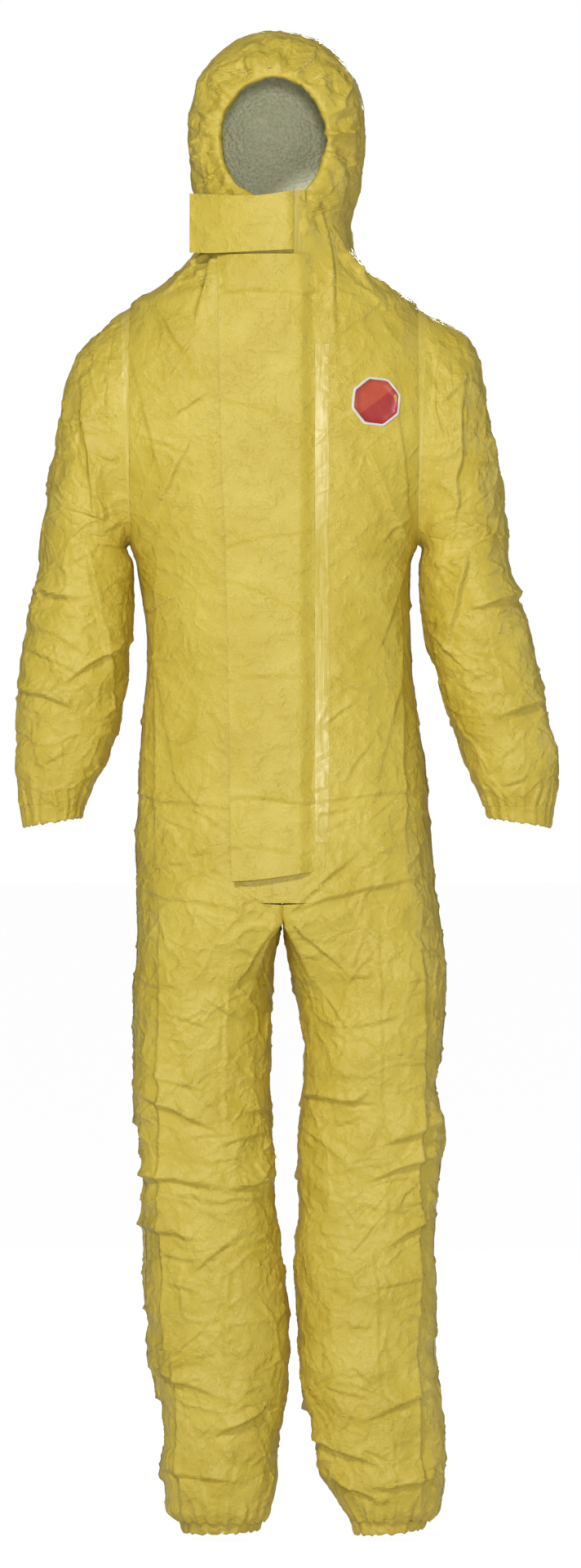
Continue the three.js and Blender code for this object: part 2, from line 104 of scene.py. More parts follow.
def lattice_value(cell, seed):
    """A steady random number from 0 to 1 for each lattice corner."""
    n = cell[..., 0] * 73856093 ^ cell[..., 1] * 19349663 ^ cell[..., 2] * 83492791
    n = (n ^ seed * 668265263) & 0xFFFFFFFF
    n = (n ^ (n >> 15)) * 2246822519 & 0xFFFFFFFF
    n = (n ^ (n >> 13)) * 3266489917 & 0xFFFFFFFF
    return ((n >> 8) & 0xFFFF) / 65535.0


def soft_noise(points, size, seed):
    """Smooth noise from -1 to 1, with features of about that size."""
    p = points / np.array(size, float)
    cell = np.floor(p).astype(np.int64)
    f = p - cell
    f = f * f * (3 - 2 * f)
    total = 0
    for corner in np.ndindex(2, 2, 2):
        weight = np.prod(np.where(corner, f, 1 - f), axis=-1)
        total = total + weight * lattice_value(cell + np.array(corner), seed)
    return 2 * total - 1


def facet_noise(points, size, seed):
    """Folded-paper noise from -1 to 1: flat facets that meet in sharp creases."""
    p = points / np.array(size, float)
    skewed = p + p.sum(-1, keepdims=True) / 3
    cell = np.floor(skewed).astype(np.int64)
    f = skewed - cell
    order = np.argsort(-f, axis=-1)
    ranked = np.take_along_axis(f, order, -1)
    corner = cell.copy()
    total = (1 - ranked[..., 0]) * lattice_value(corner, seed)
    for k in range(3):
        corner = corner + (np.arange(3) == order[..., k : k + 1])
        below = ranked[..., k + 1] if k < 2 else 0
        total = total + (ranked[..., k] - below) * lattice_value(corner, seed)
    return 2 * total - 1


# ---- The suit's smooth outer form ----
BODY_MIDDLE = [(330, -5), (0, -10), (-290, -10), (-400, -3), (-640, 2), (-760, 8)]
BODY_HALF_WIDTH = [(200, 106), (145, 100), (95, 89), (70, 91), (45, 105), (25, 135), (0, 172),
                   (-284, 172), (-305, 164), (-390, 158), (-580, 174), (-760, 184)]
BODY_FRONT = [(200, 101), (130, 113), (75, 118), (-600, 118), (-760, 114)]
BODY_BACK = [(200, 116), (75, 88), (45, 84), (0, 101), (-60, 114), (-200, 128), (-390, 114),
             (-580, 122), (-760, 114)]
BODY_SQUARENESS = [(330, 2.2), (45, 2.2), (0, 1.9), (-60, 2.4), (-760, 2.4)]
DOME_ROUNDNESS = 2.3
ARMHOLE_HALF_WIDTH = 172  # from the body's middle to each armhole's plane
NECK_DIP = 26  # how far the neck seam hangs at the front
ZIP_END_Z = -652  # below this the two front panels meet
ZIP_HALF_GAP = 15


def signed_power(value, power):
    return np.sign(value) * np.abs(value) ** power


def dome(z):
    rise = np.clip((z - HOOD_DOME_Z) / (HOOD_TOP_Z - HOOD_DOME_Z), 0, 1)
    return (1 - rise**DOME_ROUNDNESS) ** (1 / DOME_ROUNDNESS)


def armhole_half_depth(z):
    middle, half = (ARMHOLE_TOP_Z + ARMPIT_Z) / 2, (ARMHOLE_TOP_Z - ARMPIT_Z) / 2
    return ARMHOLE_DEPTH * np.sqrt(np.clip(1 - ((z - middle) / half) ** 2, 0, 1))


def body_section(z):
    """Middle, half width, front depth, back depth and squareness of the body at height z."""
    share = dome(z)
    half = along(BODY_HALF_WIDTH, z) * share
    front = along(BODY_FRONT, z) * share
    back = along(BODY_BACK, z) * share
    square = along(BODY_SQUARENESS, z)
    # Beside the armhole the section is wider, so that its cut edge lies in the armhole's plane.
    edge = armhole_half_depth(z)
    half = half / np.maximum(1 - (edge / front) ** square, 0.2) ** (1 / square)
    return along(BODY_MIDDLE, z), half, front, back, square


def ring_point(middle, half, depth, square, angle, z):
    """A point on a level rounded ring. Angle 0 is the front and a quarter turn the wearer's left."""
    x = middle + half * signed_power(np.sin(angle), 2 / square)
    y = -depth * signed_power(np.cos(angle), 2 / square)
    return np.stack([x, y, z + 0 * x], -1)


def body_point(angle, z):
    middle, half, front, back, square = body_section(z)
    depth = np.where(np.cos(angle) > 0, front, back)
    return ring_point(middle, half, depth, square, angle, z)


def angle_at_x(x, z):
    middle, half, _, _, square = body_section(z)
    share = np.clip((x - middle) / half, -0.9999, 0.9999)
    return np.arcsin(signed_power(share, square / 2))


def angle_at_depth(reach, z, at_front):
    """How far round from the front, or from the back, the outline is only reach deep."""
    _, _, front, back, square = body_section(z)
    depth = front if at_front else back
    return np.arccos(np.clip((reach / depth) ** (square / 2), 0, 1))


def neck_drop(angle):
    """How far the neck seam hangs below its level at the back."""
    return NECK_DIP * np.maximum(0, np.cos(angle)) ** 2


def front_surface(side):
    def surface(u, v):
        z = SEAT_Z + (NECK_Z - SEAT_Z) * v
        gap = 0.1 + (ZIP_HALF_GAP - 0.1) * ease(ZIP_END_Z, ZIP_END_Z + 10, z)
        inner = angle_at_x(ZIP_X + side * gap, z)
        outer = side * angle_at_depth(armhole_half_depth(z), z, True)
        angle = inner + (outer - inner) * u if side > 0 else outer + (inner - outer) * u
        return body_point(angle, z - neck_drop(angle) * np.clip(v, 0, 2) ** 6)

    return surface


def back_surface(side):
    def surface(u, v):
        z = SEAT_Z + (NECK_Z - SEAT_Z) * v
        seam = side * math.pi
        outer = side * (math.pi - angle_at_depth(armhole_half_depth(z), z, False))
        angle = outer + (seam - outer) * u if side > 0 else seam + (outer - seam) * u
        point = body_point(angle, z)
        # The armhole edge is pulled into the armhole's plane.
        levels = [ARMPIT_Z - 16, ARMPIT_Z, ARMHOLE_TOP_Z, ARMHOLE_TOP_Z + 20]
        reach = np.interp(z, levels, [400, ARMHOLE_HALF_WIDTH, ARMHOLE_HALF_WIDTH, 400])
        middle = along(BODY_MIDDLE, z)
        point[..., 0] = middle + np.clip(point[..., 0] - middle, -reach, reach)
        return point

    return surface


# The gap that the hood's halves leave for the face, and the middle of the hem's edge inside it.
FACE = {"x": -11, "z": 196, "half_width": 73, "half_height": 82, "edge_x": -10, "edge_z": 197}


def face_opening(angle):
    """The distance from the opening's middle to its edge: an egg, taller than wide, fuller below."""
    return 70 - 2 * np.cos(angle) + 4 * np.cos(2 * angle)


def face_edge_angle(z, side):
    """Where the hood's panel ends at height z, under the hem of the face opening."""
    rise = np.clip((z - FACE["z"]) / FACE["half_height"], -1, 1)
    open_by = FACE["half_width"] * np.sqrt(1 - rise**2)
    middle = along(BODY_MIDDLE, z)
    inside = open_by > 0
    return np.where(inside, angle_at_x(np.where(inside, FACE["x"], middle) + side * open_by, z), 0)


def hood_surface(side):
    def surface(u, v):
        # Rows are even up to 0.57 of the height, then crowd towards the crown.
        t = np.clip(v, -0.1, 1)
        upper = 0.57 + 0.43 * np.sin(np.clip(math.pi * (t - 0.5), 0, math.pi / 2))
        z = NECK_Z + (HOOD_TOP_Z - 0.05 - NECK_Z) * np.where(t < 0.5, t * 1.14, upper)
        front = face_edge_angle(z, side)
        back = side * math.pi
        angle = front + (back - front) * u if side > 0 else back + (front - back) * u
        return body_point(angle, z - neck_drop(angle) * np.clip(1 - t, 0, 2) ** 6)

    return surface


def front_point(x, z):
    return body_point(angle_at_x(x, z), z)


def front_normal(x, z):
    across = front_point(x + 0.5, z) - front_point(x - 0.5, z)
    up = front_point(x, z + 0.5) - front_point(x, z - 0.5)
    normal = np.cross(across, up)
    return normal / np.linalg.norm(normal, axis=-1, keepdims=True)


def face_ring(profile):
    """A ring round the face opening: profile gives, along v, how far out and how far behind."""
    def surface(u, v):
        angle = math.pi - 2 * math.pi * u
        out = face_opening(angle) + along([(at, far) for at, far, _ in profile], v)
        x = FACE["edge_x"] + out * np.sin(angle)
        z = FACE["edge_z"] + out * np.cos(angle)
        behind = along([(at, deep) for at, _, deep in profile], v)
        return front_point(x, z) - front_normal(x, z) * behind[..., None]

    return surface


# ---- Sleeves ----
ARMHOLE_X = {"right": -10 - ARMHOLE_HALF_WIDTH, "left": -10 + ARMHOLE_HALF_WIDTH}
# How far the cap's upper side is from the armpit, each (degrees from upright, distance).
CAP_REACH = {
    "right": [(0, 290), (15, 240), (27, 178), (45, 135), (70, 113), (90, 109.5), (100, 109)],
    "left": [(0, 290), (14, 255), (28, 182), (45, 140), (70, 115), (90, 109.5), (100, 109)],
}
SLEEVE_INNER = {
    "right": [(-280, -187), (-290, -187), (-310, -180), (-380, -182), (-460, -190), (-540, -211),
              (-604, -240)],
    "left": [(-280, 167), (-290, 167), (-310, 163), (-390, 167), (-460, 188), (-604, 245)],
}
SLEEVE_OUTER = {
    "right": [(-280, -291.5), (-290, -291.5), (-380, -307), (-550, -322), (-604, -314)],
    "left": [(-280, 271.5), (-290, 271.5), (-370, 293), (-460, 314), (-560, 331), (-604, 325)],
}
SLEEVE_DEPTH = [(-280, 72), (-290, 72), (-420, 66), (-550, 56), (-604, 42)]
CAP_INNER_REACH = 5
CAP_END_DEPTH = 72
CAP_CROWDING = 1.6  # rows crowd towards the armhole, where the cap stretches as the arm rises


def cap_surface(name, side):
    """The sleeve cap fans out of the armpit, from the upright armhole to the level upper arm."""
    def surface(u, v):
        degrees = 90 * np.sign(1 - v) * np.abs(1 - v) ** CAP_CROWDING
        fan = np.radians(degrees)
        angle = 2 * math.pi * u * side
        outer = along(CAP_REACH[name], degrees)
        reach = CAP_INNER_REACH + (outer - CAP_INNER_REACH) * (1 + np.sin(angle)) / 2
        depth = CAP_END_DEPTH + (ARMHOLE_DEPTH - CAP_END_DEPTH) * v
        x = ARMHOLE_X[name] + side * np.sin(fan) * reach
        z = FORK_Z + np.cos(fan) * reach
        return np.stack([x, -depth * np.cos(angle), z], -1)

    return surface


def limb_width(inner_side, outer_side, z):
    """The middle and half the width of a limb at height z."""
    inner, outer = along(inner_side, z), along(outer_side, z)
    return (inner + outer) / 2, abs(outer - inner) / 2


def sleeve_surface(name):
    def surface(u, v):
        z = CUFF_Z + (FORK_Z - CUFF_Z) * v
        middle, half = limb_width(SLEEVE_INNER[name], SLEEVE_OUTER[name], z)
        return ring_point(middle, half, along(SLEEVE_DEPTH, z), 2.0, 2 * math.pi * u, z)

    return surface


# ---- Legs ----
LEG_INNER = {
    "right": [(-700, -4), (-780, -8), (-1080, 0), (-1240, 11), (-1400, -6), (-1440, -15),
              (-1456, -26)],
    "left": [(-700, 4), (-780, 8), (-900, 19), (-1060, 11), (-1240, 17), (-1330, 30), (-1400, 48),
             (-1456, 84)],
}
LEG_OUTER = {
    "right": [(-700, -175), (-820, -178), (-950, -177), (-1130, -160), (-1240, -160),
              (-1320, -144), (-1440, -137), (-1456, -119)],
    "left": [(-700, 187), (-790, 196), (-930, 183), (-990, 193), (-1090, 181), (-1240, 183),
             (-1390, 193), (-1440, 186), (-1456, 170)],
}
LEG_DEPTH = [(-700, 114), (-790, 100), (-930, 90), (-1090, 82), (-1245, 80), (-1380, 73), (-1440, 62),
             (-1456, 52)]
LEG_SQUARENESS = 2.25
CROTCH_X = 1.5  # how far each leg's top edge stays from the middle plane
CROTCH_DIP = 12
CROTCH_HALF_DEPTH = 125
THIGH_GAP = 7  # how far each thigh's inner side keeps off the other's, so that folds don't touch


def seat_radius(angle, middle, side, z):
    """How far the body's own outline, cut by the crotch's plane, lies from the leg's middle."""
    low, high = np.zeros_like(z + angle), np.full_like(z + angle, 400.0)
    centre, half, front, back, square = body_section(z)
    for _ in range(26):
        radius = (low + high) / 2
        x = middle + radius * np.sin(angle)
        y = -radius * np.cos(angle)
        depth = np.where(y < 0, front, back)
        inside = np.abs((x - centre) / half) ** square + np.abs(y / depth) ** square < 1
        inside &= x * side > CROTCH_X
        low, high = np.where(inside, radius, low), np.where(inside, high, radius)
    return low


def leg_surface(name, side, bottom_z, top_z):
    def surface(u, v):
        z = bottom_z + (top_z - bottom_z) * v + 0 * u
        angle = 2 * math.pi * u
        inner = along(LEG_INNER[name], z) + side * THIGH_GAP * ease(-1300, -1020, z)
        outer = along(LEG_OUTER[name], z)
        middle, half = (inner + outer) / 2, abs(outer - inner) / 2
        round_leg = ring_point(middle, half, along(LEG_DEPTH, z), LEG_SQUARENESS, angle, z)
        seat = ease(SEAT_Z - 120, SEAT_Z + 5, z)
        if not (seat > 0).any():
            return round_leg
        direction = np.arctan2(round_leg[..., 0] - middle, -round_leg[..., 1])
        radius = seat_radius(direction, middle, side, z)
        seat_ring = np.stack([middle + radius * np.sin(direction), -radius * np.cos(direction), z], -1)
        # Between the legs the seam dips below the seat.
        inward = np.clip(1 - np.abs(seat_ring[..., 0]) / 30, 0, 1)
        hang = 1 - (seat_ring[..., 1] / CROTCH_HALF_DEPTH) ** 2
        seat_ring[..., 2] -= CROTCH_DIP * inward * ease(SEAT_Z - 40, SEAT_Z, z) * hang
        return round_leg + (seat_ring - round_leg) * seat[..., None]

    return surface


# ---- Folds and creases ----
# The folds that stand out on the front, listed one by one: each (x0, z0, x1, z1, width, height).
FRONT_FOLDS = [
    (-170, -285, -105, -150, 13, 3), (-170, -300, -95, -215, 10, 1.5), (-185, -40, -130, -250, 14, 2),
    (150, -285, 95, -165, 13, 3.5), (150, -300, 110, -420, 11, 2), (150, -255, 130, -60, 10, 2),
    (-150, 0, -95, -90, 14, 2), (120, 5, 60, -45, 12, 2), (-105, 50, -90, 5, 7, 3.5),
    (95, 20, 150, -30, 10, 2.5), (-90, 40, -150, 10, 8, 2.5), (60, 90, 85, 30, 7, 2.5),
    (85, 40, 150, 10, 8, 3.5), (-80, 60, -100, -20, 7, 5.5), (-90, 60, -130, 20, 6, 5),
    (-60, 45, -70, -40, 7, 4), (80, 95, 95, 25, 7, 5.5), (70, 60, 110, 15, 6, 5),
    (90, 70, 140, 20, 7, 5), (55, 60, 65, -50, 7, 4), (45, 120, 60, 40, 6, 2),
    (-150, -420, -120, -590, 14, 2), (140, -430, 105, -600, 15, 2.5), (-165, -585, -60, -600, 7, 2.5),
    (45, -590, 170, -575, 7, 2.5), (-165, -700, -30, -720, 10, 2.5), (20, -715, 175, -675, 11, 4),
    (-5, -720, -85, -670, 8, 3.5), (10, -720, 90, -650, 8, 4), (-5, -730, -60, -815, 8, 4),
    (10, -730, 85, -800, 8, 4), (-65, -740, -70, -1010, 4, 1.5), (115, -740, 120, -1030, 4, 1.5),
    (-165, -940, -70, -985, 13, 6), (190, -970, 120, -1000, 13, 6), (-170, -1035, -60, -1050, 12, 6),
    (185, -1010, 90, -1045, 12, 5.5), (-60, -1050, -5, -1040, 8, 5), (-160, -1100, -95, -1110, 11, 5.5),
    (180, -1085, 120, -1120, 11, 5.5), (20, -940, 110, -950, 8, 5), (-65, -1150, -70, -1340, 5, 2),
    (110, -1130, 120, -1360, 5, 2), (-150, -1270, -70, -1300, 10, 4.5), (180, -1290, 95, -1325, 11, 4.5),
    (-20, -1315, -85, -1345, 9, 6.5), (35, -1350, 110, -1380, 10, 6.5), (-140, -1390, -45, -1400, 9, 4.5),
    (185, -1395, 100, -1410, 9, 5.5), (60, -1400, 120, -1425, 8, 6.5), (-140, -1240, -145, -745, 9, 7.5),
    (160, -1220, 165, -745, 9, 7.5), (-150, -640, -150, -300, 8, 3.5), (145, -640, 140, -330, 8, 3.5),
    (-120, -1430, -130, -1250, 8, 5), (165, -1430, 160, -1240, 8, 5), (-230, -300, -205, -440, 12, 6),
    (-300, -340, -235, -350, 10, 6), (-190, -400, -260, -450, 10, 6), (-315, -455, -250, -475, 10, 6),
    (220, -300, 195, -410, 12, 6), (290, -345, 220, -360, 10, 6), (175, -390, 240, -450, 10, 3.5),
    (315, -470, 250, -490, 10, 6), (-240, -100, -220, -280, 13, 5), (215, -90, 205, -270, 13, 5),
]


def scattered_folds():
    """Smaller creases strewn over the legs, the sleeves and the torso."""
    chance = random.Random(20)
    # Each area is (number of creases, low x, high x, low z, high z).
    areas = [(46, -172, -8, -1430, -740), (46, 18, 186, -1430, -740), (22, -165, 172, -715, -520),
             (15, -310, -190, -585, -300), (15, 175, 315, -585, -300), (7, -250, -190, -280, -60),
             (7, 175, 240, -280, -60), (8, -150, -80, -520, -60), (8, 60, 145, -520, -60)]
    folds = []
    for count, low_x, high_x, low_z, high_z in areas:
        for _ in range(count):
            x, z = chance.uniform(low_x, high_x), chance.uniform(low_z, high_z)
            lean, length = math.radians(chance.gauss(0, 34)), chance.uniform(22, 70)
            dx, dz = length * math.cos(lean) / 2, length * math.sin(lean) / 2
            width = chance.uniform(3.5, 7)
            folds.append((x - dx, z - dz, x + dx, z + dz, width, width * chance.uniform(0.28, 0.5)))
    return folds


SMALL_FOLDS = scattered_folds()


def fold_relief(points):
    """The placed and the scattered folds, on the front and mirrored on the back. Each rises slowly
    and drops sharply on its lower or outer side."""
    total = np.zeros(points.shape[:-1])
    front = ease(25, -45, points[..., 1])
    x, z = points[..., 0], points[..., 2]
    wander = 2.5 * soft_noise(points, 26, 67)
    for x0, z0, x1, z1, width, height in FRONT_FOLDS + SMALL_FOLDS:
        for share, flip in ((front, 1), (1 - front, -1)):
            ax, bx = flip * x0, flip * x1
            length = math.hypot(bx - ax, z1 - z0)
            ux, uz = (bx - ax) / length, (z1 - z0) / length
            at = ((x - ax) * ux + (z - z0) * uz) / length
            off = (x - ax) * -uz + (z - z0) * ux + wander
            steep_up = ux > 0 if abs(ux) > 0.25 else ax * -uz < 0
            off = -off if steep_up else off
            fade = ease(-0.12, 0.15, at) * ease(1.2, 0.5, at)
            slope = np.where(off < 0, np.exp(np.minimum(off, 0) / (1.1 * width)), ease(0.4 * width, 0, off))
            total += share * fade * height * (1.15 * slope - 0.25 * bump(0.9 * width, 0.6 * width, off))
    return total


def crease_lines(points, size, seed, width):
    """Thin lines of straight runs that turn at corners, as creases in crumpled paper."""
    return np.exp(-((facet_noise(points, size, seed) / width) ** 2))


def roughness_of(points):
    """How crumpled the fabric is: little on the chest and flaps, most on the legs."""
    z = points[..., 2]
    legs = along([(331, 0.5), (120, 0.5), (40, 0.42), (-40, 0.2), (-300, 0.2), (-520, 0.3), (-600, 0.8),
                  (-760, 0.9), (-960, 1.05), (-1100, 0.95), (-1300, 1.05), (-1456, 1.0)], z)
    arm = ease(165, 190, np.abs(points[..., 0] + 8)) * ease(-720, -700, z) * ease(20, 0, z)
    return legs + (1.05 - legs) * arm


def bunching(points):
    """How strongly the fabric is pushed together along the limbs."""
    z, x = points[..., 2], np.abs(points[..., 0] + 6)
    arm = ease(160, 195, x) * ease(-720, -700, z)
    leg = ease(-715, -760, z)
    on_arm = 0.9 * bump(-390, 80, z) + 0.6 * bump(-560, 45, z) + 0.35
    on_leg = 0.8 * bump(-1010, 95, z) + 1.0 * bump(-1390, 80, z) + 0.45
    on_body = 0.5 * bump(-600, 45, z) + 0.35 * bump(-700, 60, z)
    return arm * on_arm + leg * on_leg + (1 - arm) * (1 - leg) * on_body


def relief(points):
    """How far the fabric stands out from the smooth form. Each noise has a height in front of it,
    and takes the size of its features along X, Y and Z and a seed; lines take a width as well."""
    warp = np.stack([soft_noise(points, 75, seed) for seed in (3, 5, 7)], -1)
    warped = points + 9 * warp
    tilted = warped @ np.array([[0.8, 0.1, 0.59], [-0.2, 0.97, 0.1], [-0.57, -0.2, 0.8]])
    rough = roughness_of(points)
    wave = 3.0 * soft_noise(points, (95, 95, 150), 41)
    planes = 3.6 * facet_noise(warped, (60, 60, 84), 11) + 2.1 * facet_noise(tilted, (30, 32, 34), 23)
    small = 0.6 * facet_noise(warped, (10.5, 11, 11), 37)
    lines = 1.7 * crease_lines(warped, (74, 74, 58), 43, 0.045)
    lines = lines + 1.2 * crease_lines(tilted, (42, 42, 36), 47, 0.065)
    lines = lines - 1.0 * crease_lines(warped, (27, 30, 24), 53, 0.09)
    rings = 2.1 * facet_noise(warped, (70, 70, 30), 59) + 1.1 * facet_noise(tilted, (42, 42, 16), 61)
    total = wave * (0.5 + 0.3 * rough) + rough * (planes + small) + (0.25 + 0.75 * rough) * lines
    total = total + bunching(points) * rings + fold_relief(points)
    return total * calm(points)


def calm(points):
    """1 over most of the suit, and less under the zip flap and beside the armholes."""
    x, y, z = points[..., 0], points[..., 1], points[..., 2]
    flap = ease(70, 40, np.abs(x + 14)) * ease(-20, -60, y) * ease(-720, -680, z) * ease(160, 130, z)
    seam = sum(bump(edge, 9, x) for edge in ARMHOLE_X.values())
    armhole = np.clip(seam, 0, 1) * ease(ARMPIT_Z - 30, ARMPIT_Z, z) * ease(40, 0, z)
    return (1 - 0.93 * flap) * (1 - 0.7 * armhole)


def pleats(points, middle, count):
    """About that many uneven pleats round a limb whose middle is at that x."""
    around = np.arctan2(points[..., 0] - middle, -points[..., 1])
    wander = 0.9 * soft_noise(points, 24, 71)
    return np.sin(count * around + 2.5 * wander) + 0.5 * np.sin(1.7 * count * around + 4 * wander)


def gathered_end(middle, end_z, length, loss, height, count):
    """Relief that loses that share of itself to pleats along the last stretch of a limb."""
    def extra(points):
        near = ease(end_z + length, end_z, points[..., 2])
        return relief(points) * (1 - loss * near) + height * near * pleats(points, middle, count)

    return extra


def face_gather(points):
    """Crumples that radiate from the elastic around the face."""
    x = (points[..., 0] - FACE["x"]) / FACE["half_width"]
    z = (points[..., 2] - FACE["z"]) / FACE["half_height"]
    off = np.hypot(x, z)
    around = np.arctan2(x, z)
    front = ease(20, -50, points[..., 1])
    reach = ease(1.95, 1.05, off) * front * (1 - 0.75 * ease(1.04, 0.9, off))
    polar = np.stack([around * 62, off * 16, 0 * off], -1) + 4 * soft_noise(points, 30, 73)[..., None]
    radial = 6.5 * facet_noise(polar, (10, 13, 40), 79) + 4.5 * crease_lines(polar, (17, 20, 40), 81, 0.12)
    puffs = 5.0 * facet_noise(points, (22, 24, 17), 89)
    return reach * (radial + puffs)


# ---- Meshes ----
def normals_of(grid):
    across = np.gradient(grid, axis=1)
    up = np.gradient(grid, axis=0)
    normal = np.cross(across, up)
    return normal / np.maximum(np.linalg.norm(normal, axis=-1, keepdims=True), 1e-9)


def sampled(surface, extra, columns, rows):
    """The finished outer points and normals on a grid, worked out one cell past its edges."""
    u = np.arange(-1, columns + 2) / columns
    v = np.arange(-1, rows + 2) / rows
    grid = surface(*np.meshgrid(u, v))
    out = normals_of(grid)
    grid = grid + out * extra(grid)[..., None]
    final = normals_of(grid)
    keep = slice(1, -1)
    return grid[keep, keep], final[keep, keep]


def make_mesh(name, points, faces, materials, face_materials=None, normals=None):
    mesh = bpy.data.meshes.new(name)
    mesh.from_pydata((np.asarray(points) * MM).tolist(), [], faces)
    for material in materials:
        mesh.materials.append(material)
    if face_materials is not None:
        mesh.polygons.foreach_set("material_index", face_materials)
    mesh.polygons.foreach_set("use_smooth", [True] * len(mesh.polygons))
    rest = mesh.attributes.new("rest", "FLOAT_VECTOR", "POINT")
    rest.data.foreach_set("vector", (np.asarray(points) * MM).astype(np.float32).ravel())
    if normals is not None:
        mesh.normals_split_custom_set_from_vertices(normals.tolist())
    mesh.update()
    piece = bpy.data.objects.new(name, mesh)
    bpy.context.scene.collection.objects.link(piece)
    return piece


def cloth_piece(name, grid, normals, materials, closed, thickness):
    """A two-sided piece of fabric over a grid of points; closed joins its last column to its
    first. materials are the outer and the inner one."""
    rows, columns = grid.shape[:2]
    if closed:
        columns -= 1
        grid, normals = grid[:, :-1], normals[:, :-1]
    count = rows * columns
    points = np.concatenate([grid.reshape(-1, 3), (grid - normals * thickness).reshape(-1, 3)])
    shading = np.concatenate([normals.reshape(-1, 3), -normals.reshape(-1, 3)])
    index = np.arange(count).reshape(rows, columns)
    right = np.roll(index, -1, axis=1) if closed else index[:, 1:]
    left = index if closed else index[:, :-1]
    outer = np.stack([left[:-1], right[:-1], right[1:], left[1:]], -1).reshape(-1, 4)
    inner = outer[:, ::-1] + count
    borders = [(left[0], right[0]), (right[-1], left[-1])]
    if not closed:
        borders += [(index[1:, 0], index[:-1, 0]), (index[:-1, -1], index[1:, -1])]
    rims = [np.stack([b, a, a + count, b + count], -1).reshape(-1, 4) for a, b in borders]
    rim = np.concatenate(rims)
    faces = np.concatenate([outer, inner, rim])
    which = np.concatenate([np.zeros(len(outer)), np.ones(len(inner)), np.zeros(len(rim))]).astype(int)
    return make_mesh(name, points, faces.tolist(), materials, which, shading)


# ---- Materials ----
def set_inputs(node, values):
    for name, value in values.items():
        node.inputs[name].default_value = value


def new_material(name, colour, roughness):
    material = bpy.data.materials.new(name)
    material.use_nodes = True
    shader = material.node_tree.nodes["Principled BSDF"]
    set_inputs(shader, {"Base Color": (*colour, 1), "Roughness": roughness})
    return material, material.node_tree, shader


def rest_place(tree):
    """The point's place on the piece at rest, so that a pattern moves with its piece."""
    where = tree.nodes.new("ShaderNodeAttribute")
    where.attribute_name = "rest"
    return where.outputs["Vector"]


def noise_node(tree, scale, detail=3.0, rough=0.5):
    noise = tree.nodes.new("ShaderNodeTexNoise")
    set_inputs(noise, {"Scale": scale, "Detail": detail, "Roughness": rough})
    tree.links.new(rest_place(tree), noise.inputs["Vector"])
    return noise


def dots_node(tree, scale):
    cells = tree.nodes.new("ShaderNodeTexVoronoi")
    cells.inputs["Scale"].default_value = scale
    tree.links.new(rest_place(tree), cells.inputs["Vector"])
    return cells.outputs["Distance"]


def math_node(tree, operation, first, second):
    node = tree.nodes.new("ShaderNodeMath")
    node.operation = operation
    for socket, value in zip(node.inputs, (first, second)):
        if isinstance(value, (int, float)):
            socket.default_value = value
        else:
            tree.links.new(value, socket)
    return node.outputs[0]


def add_bump(tree, shader, height, distance, strength):
    node = tree.nodes.new("ShaderNodeBump")
    set_inputs(node, {"Distance": distance, "Strength": strength})
    tree.links.new(height, node.inputs["Height"])
    tree.links.new(node.outputs["Normal"], shader.inputs["Normal"])


def vary_colour(tree, shader, factor, dark, light):
    ramp = tree.nodes.new("ShaderNodeValToRGB")
    for stop, place, colour in zip(ramp.color_ramp.elements, (0.3, 0.7), (dark, light)):
        stop.position = place
        stop.color = (*colour, 1)
    tree.links.new(factor, ramp.inputs["Fac"])
    tree.links.new(ramp.outputs["Color"], shader.inputs["Base Color"])


def suit_outside():
    """Yellow coated nonwoven: crisp fine creases, a faint emboss and a soft plastic sheen."""
    material, tree, shader = new_material("suit_yellow", (0.66, 0.51, 0.07), 0.42)
    set_inputs(shader, {"Coat Weight": 0.1, "Coat Roughness": 0.35, "Specular IOR Level": 0.4})
    tone = noise_node(tree, 14, 5, 0.6).outputs["Fac"]
    vary_colour(tree, shader, tone, (0.60, 0.45, 0.045), (0.70, 0.55, 0.085))
    crumple = noise_node(tree, 30, 5, 0.6)
    crumple.noise_type = "RIDGED_MULTIFRACTAL"
    set_inputs(crumple, {"Offset": 0.9, "Gain": 1.6})
    height = math_node(tree, "MULTIPLY", crumple.outputs["Fac"], 0.55)
    fine = noise_node(tree, 240, 4, 0.6).outputs["Fac"]
    for pattern, share in ((fine, 0.3), (dots_node(tree, 620), 0.12)):
        height = math_node(tree, "ADD", height, math_node(tree, "MULTIPLY", pattern, share))
    add_bump(tree, shader, height, 0.0026, 0.9)
    rough = noise_node(tree, 40, 3).outputs["Fac"]
    tree.links.new(math_node(tree, "ADD", math_node(tree, "MULTIPLY", rough, 0.22), 0.33),
                   shader.inputs["Roughness"])
    return material


def suit_inside():
    """The uncoated inner face: grey-olive nonwoven with a fine embossed dot pattern."""
    material, tree, shader = new_material("suit_inside", (0.60, 0.60, 0.38), 0.45)
    dots = dots_node(tree, 230)
    tone = noise_node(tree, 30, 3).outputs["Fac"]
    vary_colour(tree, shader, tone, (0.80, 0.80, 0.54), (0.88, 0.88, 0.62))
    add_bump(tree, shader, dots, 0.003, 1.0)
    return material


def seam_tape_material():
    """Glossy seam tape with fine lengthwise wrinkles, and pale streaks along them that are painted
    highlights.
    """
    material, tree, shader = new_material("seam_tape_gloss", (0.66, 0.51, 0.08), 0.36)
    set_inputs(shader, {"Coat Weight": 0.1, "Coat Roughness": 0.2})
    wrinkle_and_glint_streak = noise_node(tree, 60, 3)
    stretch = tree.nodes.new("ShaderNodeMapping")
    stretch.inputs["Scale"].default_value = (4, 4, 0.35)
    tree.links.new(rest_place(tree), stretch.inputs["Vector"])
    tree.links.new(stretch.outputs["Vector"], wrinkle_and_glint_streak.inputs["Vector"])
    # The paler streaks in the colour are painted glints, laid along the same noise that bumps the wrinkles.
    vary_colour(tree, shader, wrinkle_and_glint_streak.outputs["Fac"], (0.62, 0.47, 0.055), (0.72, 0.59, 0.14))
    add_bump(tree, shader, wrinkle_and_glint_streak.outputs["Fac"], 0.0011, 0.6)
    return material


